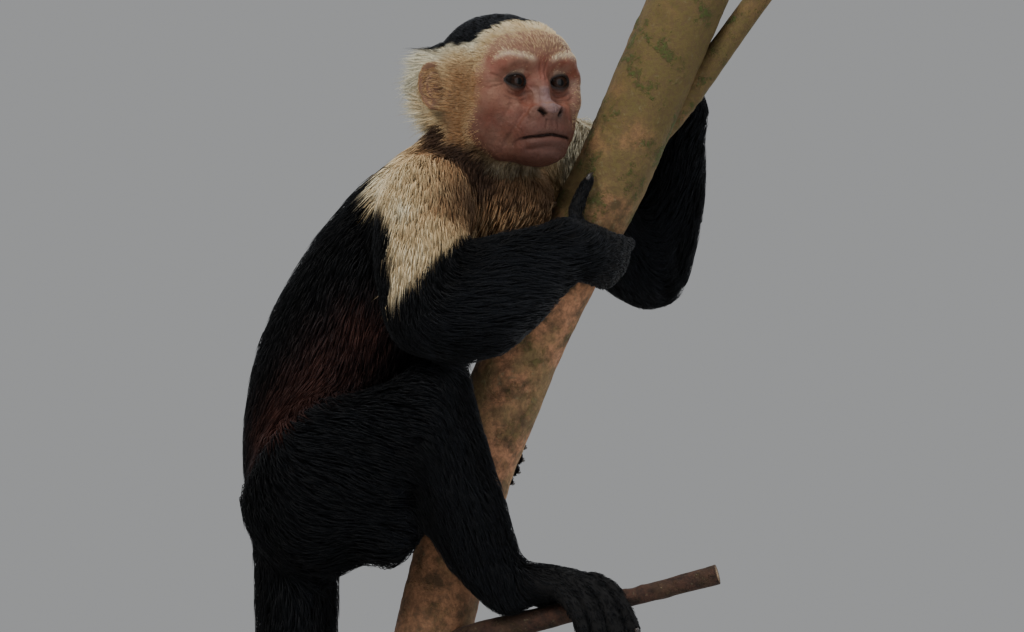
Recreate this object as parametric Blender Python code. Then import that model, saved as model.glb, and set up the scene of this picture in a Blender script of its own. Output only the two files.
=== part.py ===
"""A life-size white-faced capuchin clinging to a leaning branch, on a museum stand.

Sizes are named in millimetres and turned into metres when a shape is made. The frame is +Z up, +X the
way the animal's body faces and -Y its right side, with the origin on the floor under the stand's rod.
The flesh solids reach out to the tips of the coat.
"""

import math

import bmesh
import bpy
import numpy as np
from mathutils import Matrix, Vector

MM = 0.001
GAP = 0.35 * MM  # clearance between solids that meet

# ---------------------------------------------------------------- driving dimensions, in millimetres
HEAD_AT = (82, -15, 571)
HEAD_YAW = 35  # degrees that the face is turned from the right side towards the front
EYE_RADIUS = 8.6
EYE_SEAT = (26, 15.6, 5.8)  # forward, sideways and up from the head's centre

SHOULDER_R, ELBOW_R, WRIST_R = (34, -42, 508), (34, -84, 438), (119, -43, 478)
SHOULDER_L, ELBOW_L, WRIST_L = (104, 38, 535), (169, 57, 466), (190, 46, 556)
HIP_R, KNEE_R, ANKLE_R = (-37, -30, 320), (37, -64, 386), (84, -47, 275)
HIP_L, KNEE_L, ANKLE_L = (-38, 30, 324), (20, 62, 405), (52, 54, 306)

BRANCH_RADIUS = 23.5
BRANCH_FOOT = 58  # height of the sawn lower end
BRANCH_LINE = [
    (0, 0, BRANCH_FOOT),
    (19, 0, 153),
    (38, 0, 249),
    (48, 0, 290),
    (63, 0, 345),
    (89, 0, 411),
    (110, 0, 456),
    (130, 0, 494),
    (149, 0, 532),
    (164, 0, 567),
    (196, 0, 640),
]
FORK_LINE = [
    (166, 4, 545, 11),
    (183, 6, 562, 9.5),
    (199, 6, 582, 8.3),
    (214, 5, 603, 8),
    (238, 3, 636, 7.6),
]
TWIG_LINE = [
    (42, -6, 236, 11),
    (62, -24, 246, 9.5),
    (84, -38, 254, 8),
    (112, -46, 262, 7),
    (160, -54, 274, 5.8),
    (206, -62, 286.5, 6.4),
]

BASE_SIZE = (300, 230, 18)
BASE_CENTRE_X = 12
BASE_CORNER = 34
ROD_RADIUS = 8
TOUCH = 0.35  # clearance in millimetres between the rod and what it meets

# Base colour, roughness and metallic value of each kind of surface.
FINISHES = {
    "dark_coat": ((0.006, 0.0065, 0.0075), 0.62, 0.0),
    "pale_coat": ((0.72, 0.62, 0.44), 0.7, 0.0),
    "bare_skin": ((0.22, 0.12, 0.085), 0.55, 0.0),
    "eye": ((0.030, 0.014, 0.008), 0.08, 0.0),
    "bark": ((0.30, 0.20, 0.16), 0.85, 0.0),
    "stand_paint": ((0.035, 0.035, 0.038), 0.45, 0.0),
}


def mm(point):
    """A point or a size in millimetres as a vector in metres."""
    return Vector(point) * MM


# ---------------------------------------------------------------- shapes
def smooth_path(stations, count):
    """Rows of numbers resampled evenly along a Catmull-Rom curve through them."""
    rows = np.array(stations, float)
    rows = np.vstack([2 * rows[0] - rows[1], rows, 2 * rows[-1] - rows[-2]])
    spans = len(rows) - 3
    out = []
    for value in np.linspace(0, spans, count):
        i = min(int(value), spans - 1)
        t = value - i
        a, b, c, d = rows[i : i + 4]
        bend = (2 * a - 5 * b + 4 * c - d) * t * t + (3 * b - a - 3 * c + d) * t**3
        out.append(0.5 * (2 * b + (c - a) * t + bend))
    return np.array(out)


def add_object(name, mesh):
    """A new object in the scene from a bmesh, which is freed."""
    data = bpy.data.meshes.new(name)
    mesh.to_mesh(data)
    mesh.free()
    obj = bpy.data.objects.new(name, data)
    bpy.context.scene.collection.objects.link(obj)
    return obj


def tangents_of(centres):
    """Unit directions along a row of points."""
    tangents = np.gradient(centres, axis=0)
    return tangents / np.linalg.norm(tangents, axis=1)[:, None]


def rings_of(centres, halves, tangents, round_ends):
    """The rings of a limb, with rounded ends of that many steps added before and behind."""
    rings = list(zip(centres, halves, tangents))
    for end, steps in ((0, round_ends[0]), (-1, round_ends[1])):
        outward = tangents[end] * (1 if end else -1)
        for step in range(1, steps):
            angle = math.pi / 2 * step / steps
            centre = centres[end] + outward * halves[end].mean() * math.sin(angle)
            ring = (centre, halves[end] * math.cos(angle), tangents[end])
            rings = rings + [ring] if end else [ring] + rings
    return rings


def sweep(name, centres, halves, tangents, sides, lateral, round_ends):
    """A closed limb around a row of points, with the first half width along the lateral direction."""
    rings = rings_of(centres, halves, tangents, round_ends)
    mesh = bmesh.new()
    loops = []
    for centre, half, tangent in rings:
        side = np.array(lateral, float)
        side -= tangent * side.dot(tangent)
        side /= np.linalg.norm(side)
        front = np.cross(tangent, side)
        loop = []
        for k in range(sides):
            angle = 2 * math.pi * k / sides
            spot = centre + side * half[0] * math.cos(angle) + front * half[1] * math.sin(angle)
            loop.append(mesh.verts.new(mm(spot)))
        loops.append(loop)
        lateral = side
    for low, high in zip(loops, loops[1:]):
        for k in range(sides):
            after = (k + 1) % sides
            mesh.faces.new((low[k], low[after], high[after], high[k]))
    for end, loop in ((0, loops[0]), (-1, loops[-1])):
        if not round_ends[end]:
            mesh.faces.new(loop)
            continue
        outward = tangents[end] * (1 if end else -1)
        tip = mesh.verts.new(mm(centres[end] + outward * halves[end].mean()))
        for k in range(sides):
            mesh.faces.new((loop[k], loop[(k + 1) % sides], tip))
    bmesh.ops.recalc_face_normals(mesh, faces=mesh.faces)
    return add_object(name, mesh)


def tube(name, stations, sides=12, rings=9, lateral=(0, 1, 0), round_ends=(3, 3)):
    """A closed limb through stations of x, y, z, half width and, if it differs, half depth."""
    rows = smooth_path(stations, rings)
    halves = rows[:, 3:5] if rows.shape[1] > 4 else np.repeat(rows[:, 3:4], 2, axis=1)
    return sweep(name, rows[:, :3], halves, tangents_of(rows[:, :3]), sides, lateral, round_ends)


def ellipsoid(name, centre, radii, turn=Matrix(), detail=3):
    """An ellipsoid with those half axes, placed in the frame that turn gives."""
    mesh = bmesh.new()
    bmesh.ops.create_icosphere(mesh, subdivisions=detail, radius=1)
    place = turn @ Matrix.Translation(mm(centre)) @ Matrix.Diagonal((*mm(radii), 1))
    bmesh.ops.transform(mesh, matrix=place, verts=mesh.verts)
    return add_object(name, mesh)


# ---------------------------------------------------------------- joining, parting and carving
def settle(obj):
    """Applies the object's modifiers to its mesh."""
    graph = bpy.context.evaluated_depsgraph_get()
    data = bpy.data.meshes.new_from_object(obj.evaluated_get(graph))
    obj.modifiers.clear()
    obj.data = data
    return obj


def melt(name, forms, voxel, smoothing, triangles):
    """The forms as one soft body: remeshed, rounded off, then thinned to about that many triangles."""
    mesh = bmesh.new()
    for form in forms:
        mesh.from_mesh(form.data)
        bpy.data.objects.remove(form)
    obj = add_object(name, mesh)
    remesh = obj.modifiers.new("melt", "REMESH")
    remesh.mode = "VOXEL"
    remesh.voxel_size = voxel * MM
    soften = obj.modifiers.new("soften", "SMOOTH")
    soften.factor = 0.5
    soften.iterations = smoothing
    settle(obj)
    thin = obj.modifiers.new("thin", "DECIMATE")
    thin.ratio = triangles / (2 * len(obj.data.polygons))
    thin.use_collapse_triangulate = True
    return settle(obj)


def boolean(obj, other, operation):
    """Applies a Boolean with the other object to the first one."""
    change = obj.modifiers.new("change", "BOOLEAN")
    change.operation = operation
    change.solver = "EXACT"
    change.object = other
    settle(obj)
    bpy.data.objects.remove(other)


def unite(name, pieces):
    """The overlapping pieces as one closed body."""
    body = pieces[0]
    for other in pieces[1:]:
        boolean(body, other, "UNION")
    body.name = name
    return body


def islands_of(mesh):
    """The loose parts of a bmesh, as lists of vertices from the smallest to the largest."""
    seen = set()
    islands = []
    for start in mesh.verts:
        if start in seen:
            continue
        seen.add(start)
        island = [start]
        for vert in island:
            for edge in vert.link_edges:
                other = edge.other_vert(vert)
                if other not in seen:
                    seen.add(other)
                    island.append(other)
        islands.append(island)
    return sorted(islands, key=len)


def keep_largest(obj):
    """Leaves only the biggest loose part of the mesh, without the crumbs of a cut."""
    mesh = bmesh.new()
    mesh.from_mesh(obj.data)
    for island in islands_of(mesh)[:-1]:
        bmesh.ops.delete(mesh, geom=island, context="VERTS")
    mesh.to_mesh(obj.data)
    mesh.free()


def boxes_meet(first, second, margin=2 * MM):
    """True if the bounding boxes of two meshes come within the margin."""
    a = np.array([vert.co for vert in first.data.vertices])
    b = np.array([vert.co for vert in second.data.vertices])
    return bool((a.min(0) - margin < b.max(0)).all() and (b.min(0) - margin < a.max(0)).all())


def carve(obj, neighbours):
    """Cuts the neighbours out of the object, each swollen by the gap."""
    for other in neighbours:
        if not boxes_meet(obj, other):
            continue
        cutter = bpy.data.objects.new("cutter", other.data.copy())
        bpy.context.scene.collection.objects.link(cutter)
        for vert, normal in zip(cutter.data.vertices, other.data.vertex_normals):
            vert.co += normal.vector * GAP
        boolean(obj, cutter, "DIFFERENCE")
        keep_largest(obj)
    return obj


def trim(obj, point, normal):
    """Keeps the side that normal points to, from half a gap past the plane, closed with a flat face."""
    normal = Vector(normal).normalized()
    mesh = bmesh.new()
    mesh.from_mesh(obj.data)
    cut = bmesh.ops.bisect_plane(
        mesh,
        geom=mesh.verts[:] + mesh.edges[:] + mesh.faces[:],
        plane_co=mm(point) + normal * GAP / 2,
        plane_no=normal,
        clear_inner=True,
    )
    rim = [edge for edge in cut["geom_cut"] if isinstance(edge, bmesh.types.BMEdge)]
    bmesh.ops.holes_fill(mesh, edges=rim, sides=0)
    bmesh.ops.recalc_face_normals(mesh, faces=mesh.faces)
    mesh.to_mesh(obj.data)
    mesh.free()
    return obj


def mitre(before, joint, after):
    """The direction of the cut through a bent joint, pointing on towards the further limb."""
    inward = (Vector(joint) - Vector(before)).normalized()
    onward = (Vector(after) - Vector(joint)).normalized()
    return inward + onward


# ---------------------------------------------------------------- the perch and the stand
def branch_at(height):
    """The centre and the unit axis of the main branch at a height."""
    line = smooth_path(BRANCH_LINE, 240)
    i = int(np.argmin(abs(line[:, 2] - height)))
    axis = line[min(i + 3, len(line) - 1)] - line[max(i - 3, 0)]
    return line[i], axis / np.linalg.norm(axis)


def beside(height, angle, radius, along=0.0):
    """A point beside the branch: 0 degrees is the near side (-Y), 90 the +X side and 180 the far side."""
    centre, axis = branch_at(height)
    near = np.array((0.0, -1.0, 0.0))
    right = np.cross(axis, near)
    turn = math.radians(angle)
    return centre + radius * (math.cos(turn) * near + math.sin(turn) * right) + along * axis


def build_perch():
    """The leaning branch, its fork at the top and the side twig under the right foot."""
    branch = tube("perch_branch", [(*p, BRANCH_RADIUS) for p in BRANCH_LINE], 14, 11, round_ends=(0, 0))
    for vert in branch.data.vertices:
        if vert.co.z < (BRANCH_FOOT + BRANCH_RADIUS / 3) * MM:
            vert.co.z = BRANCH_FOOT * MM
    fork = tube("perch_fork", FORK_LINE, 8, 6, round_ends=(0, 0))
    twig = tube("perch_twig", TWIG_LINE, 8, 9, round_ends=(0, 0))
    carve(fork, [branch])
    carve(twig, [branch])
    return branch, fork, twig


def build_stand():
    """A flat base with rounded corners and the short rod that carries the branch."""
    bpy.ops.mesh.primitive_cube_add(size=1)
    base = bpy.context.object
    base.name = "stand_base"
    base.data.transform(Matrix.Diagonal((*mm(BASE_SIZE), 1)))
    base.data.transform(Matrix.Translation(mm((BASE_CENTRE_X, 0, BASE_SIZE[2] / 2))))
    weights = base.data.attributes.new("bevel_weight_edge", "FLOAT", "EDGE")
    for edge in base.data.edges:
        low, high = (base.data.vertices[i].co.z for i in edge.vertices)
        weights.data[edge.index].value = float(abs(low - high) > MM)
    corners = base.modifiers.new("corners", "BEVEL")
    corners.limit_method = "WEIGHT"
    corners.width = BASE_CORNER * MM
    corners.segments = 5
    settle(base)
    rim = base.modifiers.new("rim", "BEVEL")
    rim.limit_method = "ANGLE"
    rim.angle_limit = math.radians(60)
    rim.width = 2.5 * MM
    rim.segments = 1
    settle(base)
    ends = [(0, 0, BASE_SIZE[2] + TOUCH, ROD_RADIUS), (0, 0, BRANCH_FOOT - TOUCH, ROD_RADIUS)]
    rod = tube("stand_rod", ends, 16, 2, lateral=(1, 0, 0), round_ends=(0, 0))
    return base, rod


# ---------------------------------------------------------------- the head
def head_frame():
    """The matrix from the head's own axes, forward, left and up, to the row's frame."""
    return Matrix.Translation(mm(HEAD_AT)) @ Matrix.Rotation(math.radians(HEAD_YAW - 90), 4, "Z")


def build_head():
    """The head out to its coat with open eye sockets, then the two eyes and the two ears."""
    frame = head_frame()
    middle = [
        ((-9, 0, 14), (42, 37, 35.3)),  # cranium
        ((13, 0, 22.5), (26, 33.5, 22.5)),  # forehead
        ((12, 0, 4), (21.5, 35, 34)),  # face
        ((30, 0, -22), (17.5, 24.5, 15)),  # muzzle
        ((33, 0, -2), (8.5, 7, 16)),  # bridge of the nose
        ((41, 0, -12), (9, 8.5, 7)),  # end of the nose
        ((28, 0, -33), (19, 20.5, 11.5)),  # chin
        ((3, 0, -28), (27, 25, 18)),  # throat
    ]
    paired = [
        ((25, 18, 18), (12, 14, 9)),  # brow
        ((20, 27, 7), (12, 10.5, 14)),  # outer rim of the eye socket
        ((19, 25, -4), (15, 13, 16)),  # cheekbone
        ((22, 17, -15), (16, 12, 17)),  # front of the cheek
        ((14, 16, -29), (20, 14, 15.5)),  # jaw
        ((5, 25, -16), (25, 14, 24)),  # cheek and its ruff
        ((-28, 27, 5), (20, 15, 25)),  # fur behind the ear
        ((41, 7, -13), (6, 5.5, 5.5)),  # wing of the nose
    ]
    mirrored = [((x, side * y, z), radii) for (x, y, z), radii in paired for side in (-1, 1)]
    forms = [ellipsoid("form", centre, radii, frame, 4) for centre, radii in middle + mirrored]
    head = melt("head", forms, 1.6, 6, 1160)
    eyes = []
    ears = []
    for name, side in (("R", -1), ("L", 1)):
        forward, across, up = EYE_SEAT
        eyes.append(ellipsoid(f"eye_{name}", (forward, side * across, up), (EYE_RADIUS,) * 3, frame, 2))
        seat = frame @ Matrix.Translation(mm((-13, side * 38, 4)))
        flare = Matrix.Rotation(math.radians(-30 * side), 4, "Z")
        lean = Matrix.Rotation(math.radians(-12), 4, "Y")
        ears.append(ellipsoid(f"ear_{name}", (-4, side * 1.5, 1), (12, 3.4, 15.5), seat @ flare @ lean, 2))
    carve(head, eyes)
    for ear in ears:
        carve(ear, [head])
    return head, eyes, ears


# ---------------------------------------------------------------- the trunk and the neck
def build_trunk(head):
    """Rump, belly, ribs and shoulders in one soft body, and the neck up into the head."""
    spine = [
        (-44, 0, 300, 28, 29),
        (-36, 0, 332, 40, 42),
        (-27, 0, 374, 45, 50),
        (-15, 0, 412, 46, 53),
        (2, -1, 448, 46, 51),
        (24, -2, 484, 45, 46),
        (44, -4, 511, 40, 38),
        (58, -8, 532, 30, 30),
        (70, -12, 550, 26, 27),
    ]
    bulges = [
        ((40, -32, 500), (26, 20, 27)),  # right shoulder
        ((86, 24, 524), (32, 26, 27)),  # left shoulder, reached forward
        ((125, 36, 538), (22, 20, 27)),  # fur of the left shoulder, up beside the chin
        ((66, -2, 505), (30, 34, 26)),  # breast between the arms
        ((87, -7, 501), (30, 28, 27)),  # fur of the breast, down to the right arm
        ((-38, -20, 324), (34, 24, 34)),  # right haunch
        ((-36, 20, 324), (34, 24, 34)),  # left haunch
    ]
    forms = [tube("form", spine, 24, 24)]
    forms += [ellipsoid("form", centre, radii) for centre, radii in bulges]
    body = melt("trunk", forms, 3, 10, 600)
    cut = (56, -8, 531)
    towards_head = Vector((0.5, -0.14, 0.8))
    upper = add_copy(body, "neck")
    neck = carve(trim(upper, cut, towards_head), [head])
    trunk = carve(trim(body, cut, -towards_head), [head])
    return trunk, neck


def add_copy(obj, name):
    """Another object with a copy of the mesh."""
    copy = bpy.data.objects.new(name, obj.data.copy())
    bpy.context.scene.collection.objects.link(copy)
    return copy


# ---------------------------------------------------------------- the limbs
def build_arms():
    """Upper arms and forearms, each pair parted by a mitre at the elbow."""
    upper_r = [(*SHOULDER_R, 27, 29), (31, -62, 475, 27, 29), (*ELBOW_R, 24, 25)]
    fore_r = [
        (*ELBOW_R, 24, 25),
        (61, -74, 443.5, 26, 35.5),
        (85, -62, 459, 23, 31.5),
        (106, -50, 471, 18, 24),
        (*WRIST_R, 14, 18),
    ]
    upper_l = [(*SHOULDER_L, 27, 27), (140, 50, 493, 24, 30), (*ELBOW_L, 23, 26)]
    fore_l = [(*ELBOW_L, 23, 26), (181, 56, 500, 20, 22), (188, 51, 532, 15, 17), (*WRIST_L, 12, 13)]
    arms = {}
    for side, upper, fore, joints in (
        ("R", upper_r, fore_r, (SHOULDER_R, ELBOW_R, WRIST_R)),
        ("L", upper_l, fore_l, (SHOULDER_L, ELBOW_L, WRIST_L)),
    ):
        cut = mitre(*joints)
        arms["upper" + side] = trim(tube(f"upper_arm_{side}", upper, 12, 7), joints[1], -cut)
        arms["fore" + side] = trim(tube(f"forearm_{side}", fore, 12, 8), joints[1], cut)
    return arms


def build_legs():
    """Thighs and shanks, each pair parted by a mitre at the knee."""
    thigh_r = [
        (*HIP_R, 28, 46),
        (-22, -38, 337, 29, 54),
        (2, -47, 348, 27, 55),
        (19, -56, 361, 25, 47),
        (30, -61, 376, 25, 36),
        (*KNEE_R, 25, 28),
    ]
    shank_r = [
        (*KNEE_R, 25, 28),
        (48.5, -61, 350, 23, 26.5),
        (58, -57, 322, 20, 26),
        (68, -52, 298, 17, 23),
        (*ANKLE_R, 14, 17),
    ]
    thigh_l = [(*HIP_L, 28, 44), (-16, 44, 350, 27, 46), (6, 55, 380, 25, 36), (*KNEE_L, 23, 26)]
    shank_l = [(*KNEE_L, 23, 26), (34, 62, 372, 20, 23), (45, 59, 337, 17, 20), (*ANKLE_L, 13, 15)]
    legs = {}
    for side, thigh, shank, joints in (
        ("R", thigh_r, shank_r, (HIP_R, KNEE_R, ANKLE_R)),
        ("L", thigh_l, shank_l, (HIP_L, KNEE_L, ANKLE_L)),
    ):
        cut = mitre(*joints)
        legs["thigh" + side] = trim(tube(f"thigh_{side}", thigh, 12, 8), joints[1], -cut)
        legs["shank" + side] = trim(tube(f"shank_{side}", shank, 12, 8), joints[1], cut)
    knee = carve(ellipsoid("knee", (46, -62, 397), (17, 21, 22), detail=2), [legs["thighR"]])
    legs["shankR"] = unite("shank_R", [legs["shankR"], knee])
    ham = carve(ellipsoid("ham", (10, -45, 318), (25, 21, 32), detail=2), [legs["shankR"]])
    legs["thighR"] = unite("thigh_R", [legs["thighR"], ham])
    return legs


def digit(stations, rings=5):
    """One finger or toe."""
    return tube("digit", stations, 6, rings, round_ends=(1, 2))


def round_branch(height, turns, along, radii, reach=0.6, climb=0):
    """Stations of a digit that lies round the branch through those angles, rising by the climb."""
    stations = []
    for i, angle in enumerate(turns):
        radius = radii[0] + (radii[1] - radii[0]) * i / (len(turns) - 1)
        lift = BRANCH_RADIUS + radius + reach + 2.5 * (i == 0)
        rise = climb * i / (len(turns) - 1)
        stations.append((*beside(height, angle, lift, along + rise), radius))
    return stations


def build_hand_r():
    """The right hand on the branch from the near side, fingers round it and the thumb up along it."""
    height = 477
    _, axis = branch_at(height)
    palm = [
        (*beside(height, -8, 45, 3), 16, 14),
        (*beside(height, 10, 39, 4), 18, 11),
        (*beside(height, 32, 35.5, 5), 18.5, 9.5),
        (*beside(height, 52, 32.5, 6.5), 18, 7),
    ]
    pieces = [tube("palm", palm, 10, 5, lateral=axis, round_ends=(2, 2))]
    for along, last in ((18.5, 148), (10.2, 156), (1.8, 154), (-6.4, 142)):
        turns = (44, 70, 98, 126, last)
        pieces.append(digit(round_branch(height, turns, along, (5.2, 4.1), climb=6)))
    thumb = [
        (*beside(height, 0, 36, 8), 6.5),
        (*beside(height, -18, 31, 22), 5.6),
        (*beside(height, -23, 29, 43), 4.4),
    ]
    pieces.append(digit(thumb, 5))
    return unite("hand_R", pieces)


def build_hand_l():
    """The left hand reached up behind the branch, with the thumb beside the fork."""
    height = 578
    _, axis = branch_at(height)
    palm = [
        (*beside(height, 148, 54, -2), 12, 12),
        (*beside(height, 156, 43, 5), 15, 10.5),
        (*beside(height, 170, 36, 9), 16, 9),
        (*beside(height, 188, 33, 10), 16, 7),
    ]
    pieces = [tube("palm", palm, 10, 5, lateral=axis, round_ends=(2, 2))]
    for along, last in ((22, 212), (14, 218), (6, 218), (-2, 210)):
        turns = (176, 190, 204, last)
        pieces.append(digit(round_branch(height, turns, along, (5, 4)), 5))
    thumb = [
        (*beside(height, 160, 36, 8), 6.5),
        (*beside(height, 138, 31, 16), 5.4),
        (*beside(height, 122, 29, 28), 4.6),
    ]
    pieces.append(digit(thumb, 5))
    return unite("hand_L", pieces)


def build_foot_r():
    """The right foot standing along the twig, toes hooked over its near side, the big toe behind it."""
    sole = [
        (68, -46, 274, 11, 11),
        (84, -47, 279, 13, 13),
        (102, -49, 281, 15, 12),
        (120, -51, 281, 16, 9),
        (128, -53, 279, 15, 7),
    ]
    pieces = [tube("sole", sole, 8, 6, lateral=(0, 1, 0), round_ends=(2, 2))]
    toes = [
        ((120, -45, 281), (138, -51, 283), (150, -59, 271), (158, -63, 253)),
        ((120, -51, 281), (134, -59, 279), (143, -65, 265), (148, -66, 247)),
        ((117, -57, 279), (128, -65, 273), (135, -69, 258), (138, -67, 242)),
        ((113, -61, 277), (121, -69, 268), (126, -71, 254), (128, -68, 240)),
    ]
    for root, knuckle, middle, tip in toes:
        pieces.append(digit([(*root, 5.8), (*knuckle, 5.6), (*middle, 5), (*tip, 4.3)]))
    big_toe = [(90, -40, 276, 7.5), (104, -32, 270, 6.5), (120, -30, 263, 5.6), (134, -33, 257, 5)]
    pieces.append(digit(big_toe))
    return unite("foot_R", pieces)


def build_foot_l():
    """The left foot against the branch's far side, toes round one way and the big toe the other."""
    height = 346
    _, axis = branch_at(height)
    sole = [
        (*beside(height, 178, 48, -44), 11, 11),
        (*beside(height, 178, 43, -30), 13, 12),
        (*beside(height, 177, 37, -12), 15, 10),
        (*beside(height, 172, 34.5, 6), 16, 8.5),
        (*beside(height, 166, 33, 12), 15, 7),
    ]
    pieces = [tube("sole", sole, 8, 6, lateral=(1, 0, 0), round_ends=(3, 2))]
    for along, first, last in ((22, 172, 130), (14.4, 168, 126), (6.8, 166, 126), (-0.8, 164, 130)):
        turns = np.linspace(first, last, 4)
        pieces.append(digit(round_branch(height, turns, along, (5.2, 4)), 5))
    pieces.append(digit(round_branch(height, (190, 222, 252, 276), -16, (6.8, 5))))
    return unite("foot_L", pieces)


# ---------------------------------------------------------------- the tail
def build_tail():
    """The tail in four lengths: down from the rump, then one turn round the branch to its tip."""
    hang = [
        (-44, 0, 308, 27),
        (-44, 0, 272, 27),
        (-44, -1, 240, 25.5),
        (-42, -5, 212, 24),
        (-34, -14, 190, 22),
    ]
    wrap = []
    steps = 9
    for step in range(steps + 1):
        share = step / steps
        radius = 20 - 10 * share
        spot = beside(172 - 68 * share, -52 + 330 * share, BRANCH_RADIUS + radius + 2.5)
        wrap.append((*spot, radius))
    rows = smooth_path(hang + wrap, 35)
    halves = np.repeat(rows[:, 3:4], 2, axis=1)
    tangents = tangents_of(rows[:, :3])
    lengths = []
    for number, (first, last) in enumerate(((0, 9), (9, 18), (18, 26), (26, 34)), 1):
        centres = rows[first : last + 1, :3].copy()
        if number > 1:
            centres[0] += tangents[first] * TOUCH
        ends = (0, 3) if number == 4 else (0, 0)
        lateral = np.cross(tangents[first], (0.3, 1, 0.5))
        span = slice(first, last + 1)
        lengths.append(sweep(f"tail_{number}", centres, halves[span], tangents[span], 10, lateral, ends))
    return lengths


# ---------------------------------------------------------------- finish and assembly
def dress(obj, finish):
    """Gives the object a material of its own and smooth shading with sharp edges kept."""
    colour, roughness, metallic = FINISHES[finish]
    material = bpy.data.materials.new(f"{obj.name}_{finish}")
    material.use_nodes = True
    shader = material.node_tree.nodes["Principled BSDF"]
    shader.inputs["Base Color"].default_value = (*colour, 1)
    shader.inputs["Roughness"].default_value = roughness
    shader.inputs["Metallic"].default_value = metallic
    obj.data.materials.clear()
    obj.data.materials.append(material)
    obj.data.shade_smooth()
    obj.data.set_sharp_from_angle(angle=math.radians(50))


def main():
    """Builds every piece and carves what meets, so that nothing overlaps."""
    for obj in list(bpy.data.objects):
        bpy.data.objects.remove(obj)
    branch, fork, twig = build_perch()
    base, rod = build_stand()
    head, eyes, ears = build_head()
    trunk, neck = build_trunk(head)
    arms = build_arms()
    legs = build_legs()
    hand_r = build_hand_r()
    hand_l = build_hand_l()
    foot_r = build_foot_r()
    foot_l = build_foot_l()
    tail = build_tail()
    carve(trunk, [branch])
    carve(neck, [branch])
    torso = [trunk, neck, head]
    for side in ("R", "L"):
        carve(arms["upper" + side], torso + [branch])
        carve(arms["fore" + side], torso + [branch, fork, legs["shank" + side]])
        carve(legs["thigh" + side], torso + [arms["fore" + side], branch])
        carve(legs["shank" + side], torso + [branch, twig])
    carve(hand_r, [arms["foreR"], arms["upperL"], branch])
    carve(hand_l, [arms["foreL"], branch, fork])
    carve(foot_r, [legs["shankR"], branch, twig])
    carve(foot_l, [legs["shankL"], branch])
    carve(tail[0], [trunk, legs["thighR"], legs["thighL"]])
    for length in tail[1:]:
        carve(length, [branch])
    for obj in (branch, fork, twig):
        dress(obj, "bark")
    for obj in (base, rod):
        dress(obj, "stand_paint")
    for obj in eyes:
        dress(obj, "eye")
    for obj in ears:
        dress(obj, "bare_skin")
    for obj in (head, neck, arms["upperR"], arms["upperL"]):
        dress(obj, "pale_coat")
    dark = [trunk, hand_r, hand_l, foot_r, foot_l, arms["foreR"], arms["foreL"], *legs.values(), *tail]
    for obj in dark:
        dress(obj, "dark_coat")


main()
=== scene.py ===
"""Dresses the capuchin model: skin, a coat of solid tufts, eyes, nails, the barked branch and the stand.

Lengths are in millimetres until a mesh is made. The head has its own axes, forward, left and up, worked
out from where the two eyes sit.
"""

import logging
import math
from dataclasses import dataclass, field
from enum import Enum

import bmesh
import bpy
import numpy as np
from mathutils import Matrix, Vector
from mathutils.bvhtree import BVHTree
from mathutils.kdtree import KDTree


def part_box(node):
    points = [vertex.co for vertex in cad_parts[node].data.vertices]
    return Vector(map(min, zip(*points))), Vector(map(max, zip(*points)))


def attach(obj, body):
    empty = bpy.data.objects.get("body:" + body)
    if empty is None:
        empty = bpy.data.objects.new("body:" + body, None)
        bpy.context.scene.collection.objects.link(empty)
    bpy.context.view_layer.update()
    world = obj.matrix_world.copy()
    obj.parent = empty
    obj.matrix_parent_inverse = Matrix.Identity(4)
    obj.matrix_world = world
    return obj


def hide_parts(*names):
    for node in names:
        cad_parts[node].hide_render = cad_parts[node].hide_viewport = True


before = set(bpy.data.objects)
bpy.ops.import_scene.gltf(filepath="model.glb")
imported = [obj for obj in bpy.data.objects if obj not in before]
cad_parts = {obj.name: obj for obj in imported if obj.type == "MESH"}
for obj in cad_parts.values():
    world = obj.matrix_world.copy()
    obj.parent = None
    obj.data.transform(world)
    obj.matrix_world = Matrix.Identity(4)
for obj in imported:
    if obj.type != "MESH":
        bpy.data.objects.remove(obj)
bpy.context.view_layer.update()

MM = 0.001
log = logging.getLogger("capuchin")

Array = np.ndarray
Row = tuple[float, ...]
Triple = tuple[float, float, float]
Object = bpy.types.Object
Draws = np.random.Generator
Material = bpy.types.Material


# ---------------- numbers
def unit(vectors: Array) -> Array:
    """The vectors at length one."""
    return vectors / np.maximum(np.linalg.norm(vectors, axis=-1, keepdims=True), 1e-9)


def ease(value: Array, low: float, high: float) -> Array:
    """Rises smoothly from 0 at low to 1 at high. Low may be the greater of the two."""
    share = np.clip((value - low) / (high - low), 0, 1)
    return share * share * (3 - 2 * share)


def bell(offsets: Array, sizes: Row) -> Array:
    """1 at no offset, falling off over the given size along each axis."""
    return np.exp(-((offsets / np.array(sizes)) ** 2).sum(-1))


def hump(offset: Array, size: float | Array) -> Array:
    """1 at no offset, falling off over the given size."""
    return np.exp(-((offset / size) ** 2))


def noise(points: Array, size: float, seed: int) -> Array:
    """Smooth lattice noise.

    Args:
        points: Rows of x, y, z in millimetres.
        size: The lattice's pitch in millimetres.
        seed: Which noise.

    Returns:
        A value from -1 to 1 for each point.
    """
    grid = points / size
    cell = np.floor(grid).astype(np.int64)
    share = grid - cell
    share = share * share * (3 - 2 * share)
    total = np.zeros(len(points))
    for corner in np.ndindex(2, 2, 2):
        spot = cell + corner
        mixed = (spot[:, 0] * 73856093) ^ (spot[:, 1] * 19349663) ^ (spot[:, 2] * 83492791) ^ (seed * 40503)
        mixed = (mixed ^ (mixed >> 13)) * 1274126177
        mixed = mixed ^ (mixed >> 16)
        weight = np.prod(np.where(corner, share, 1 - share), axis=1)
        total += weight * ((mixed & 0xFFFF) / 32767.5 - 1)
    return total


def noise_vector(points: Array, size: float, seed: int) -> Array:
    """Three noises side by side, as a vector for each point."""
    return np.stack([noise(points, size, seed + k) for k in range(3)], axis=1)


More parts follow.
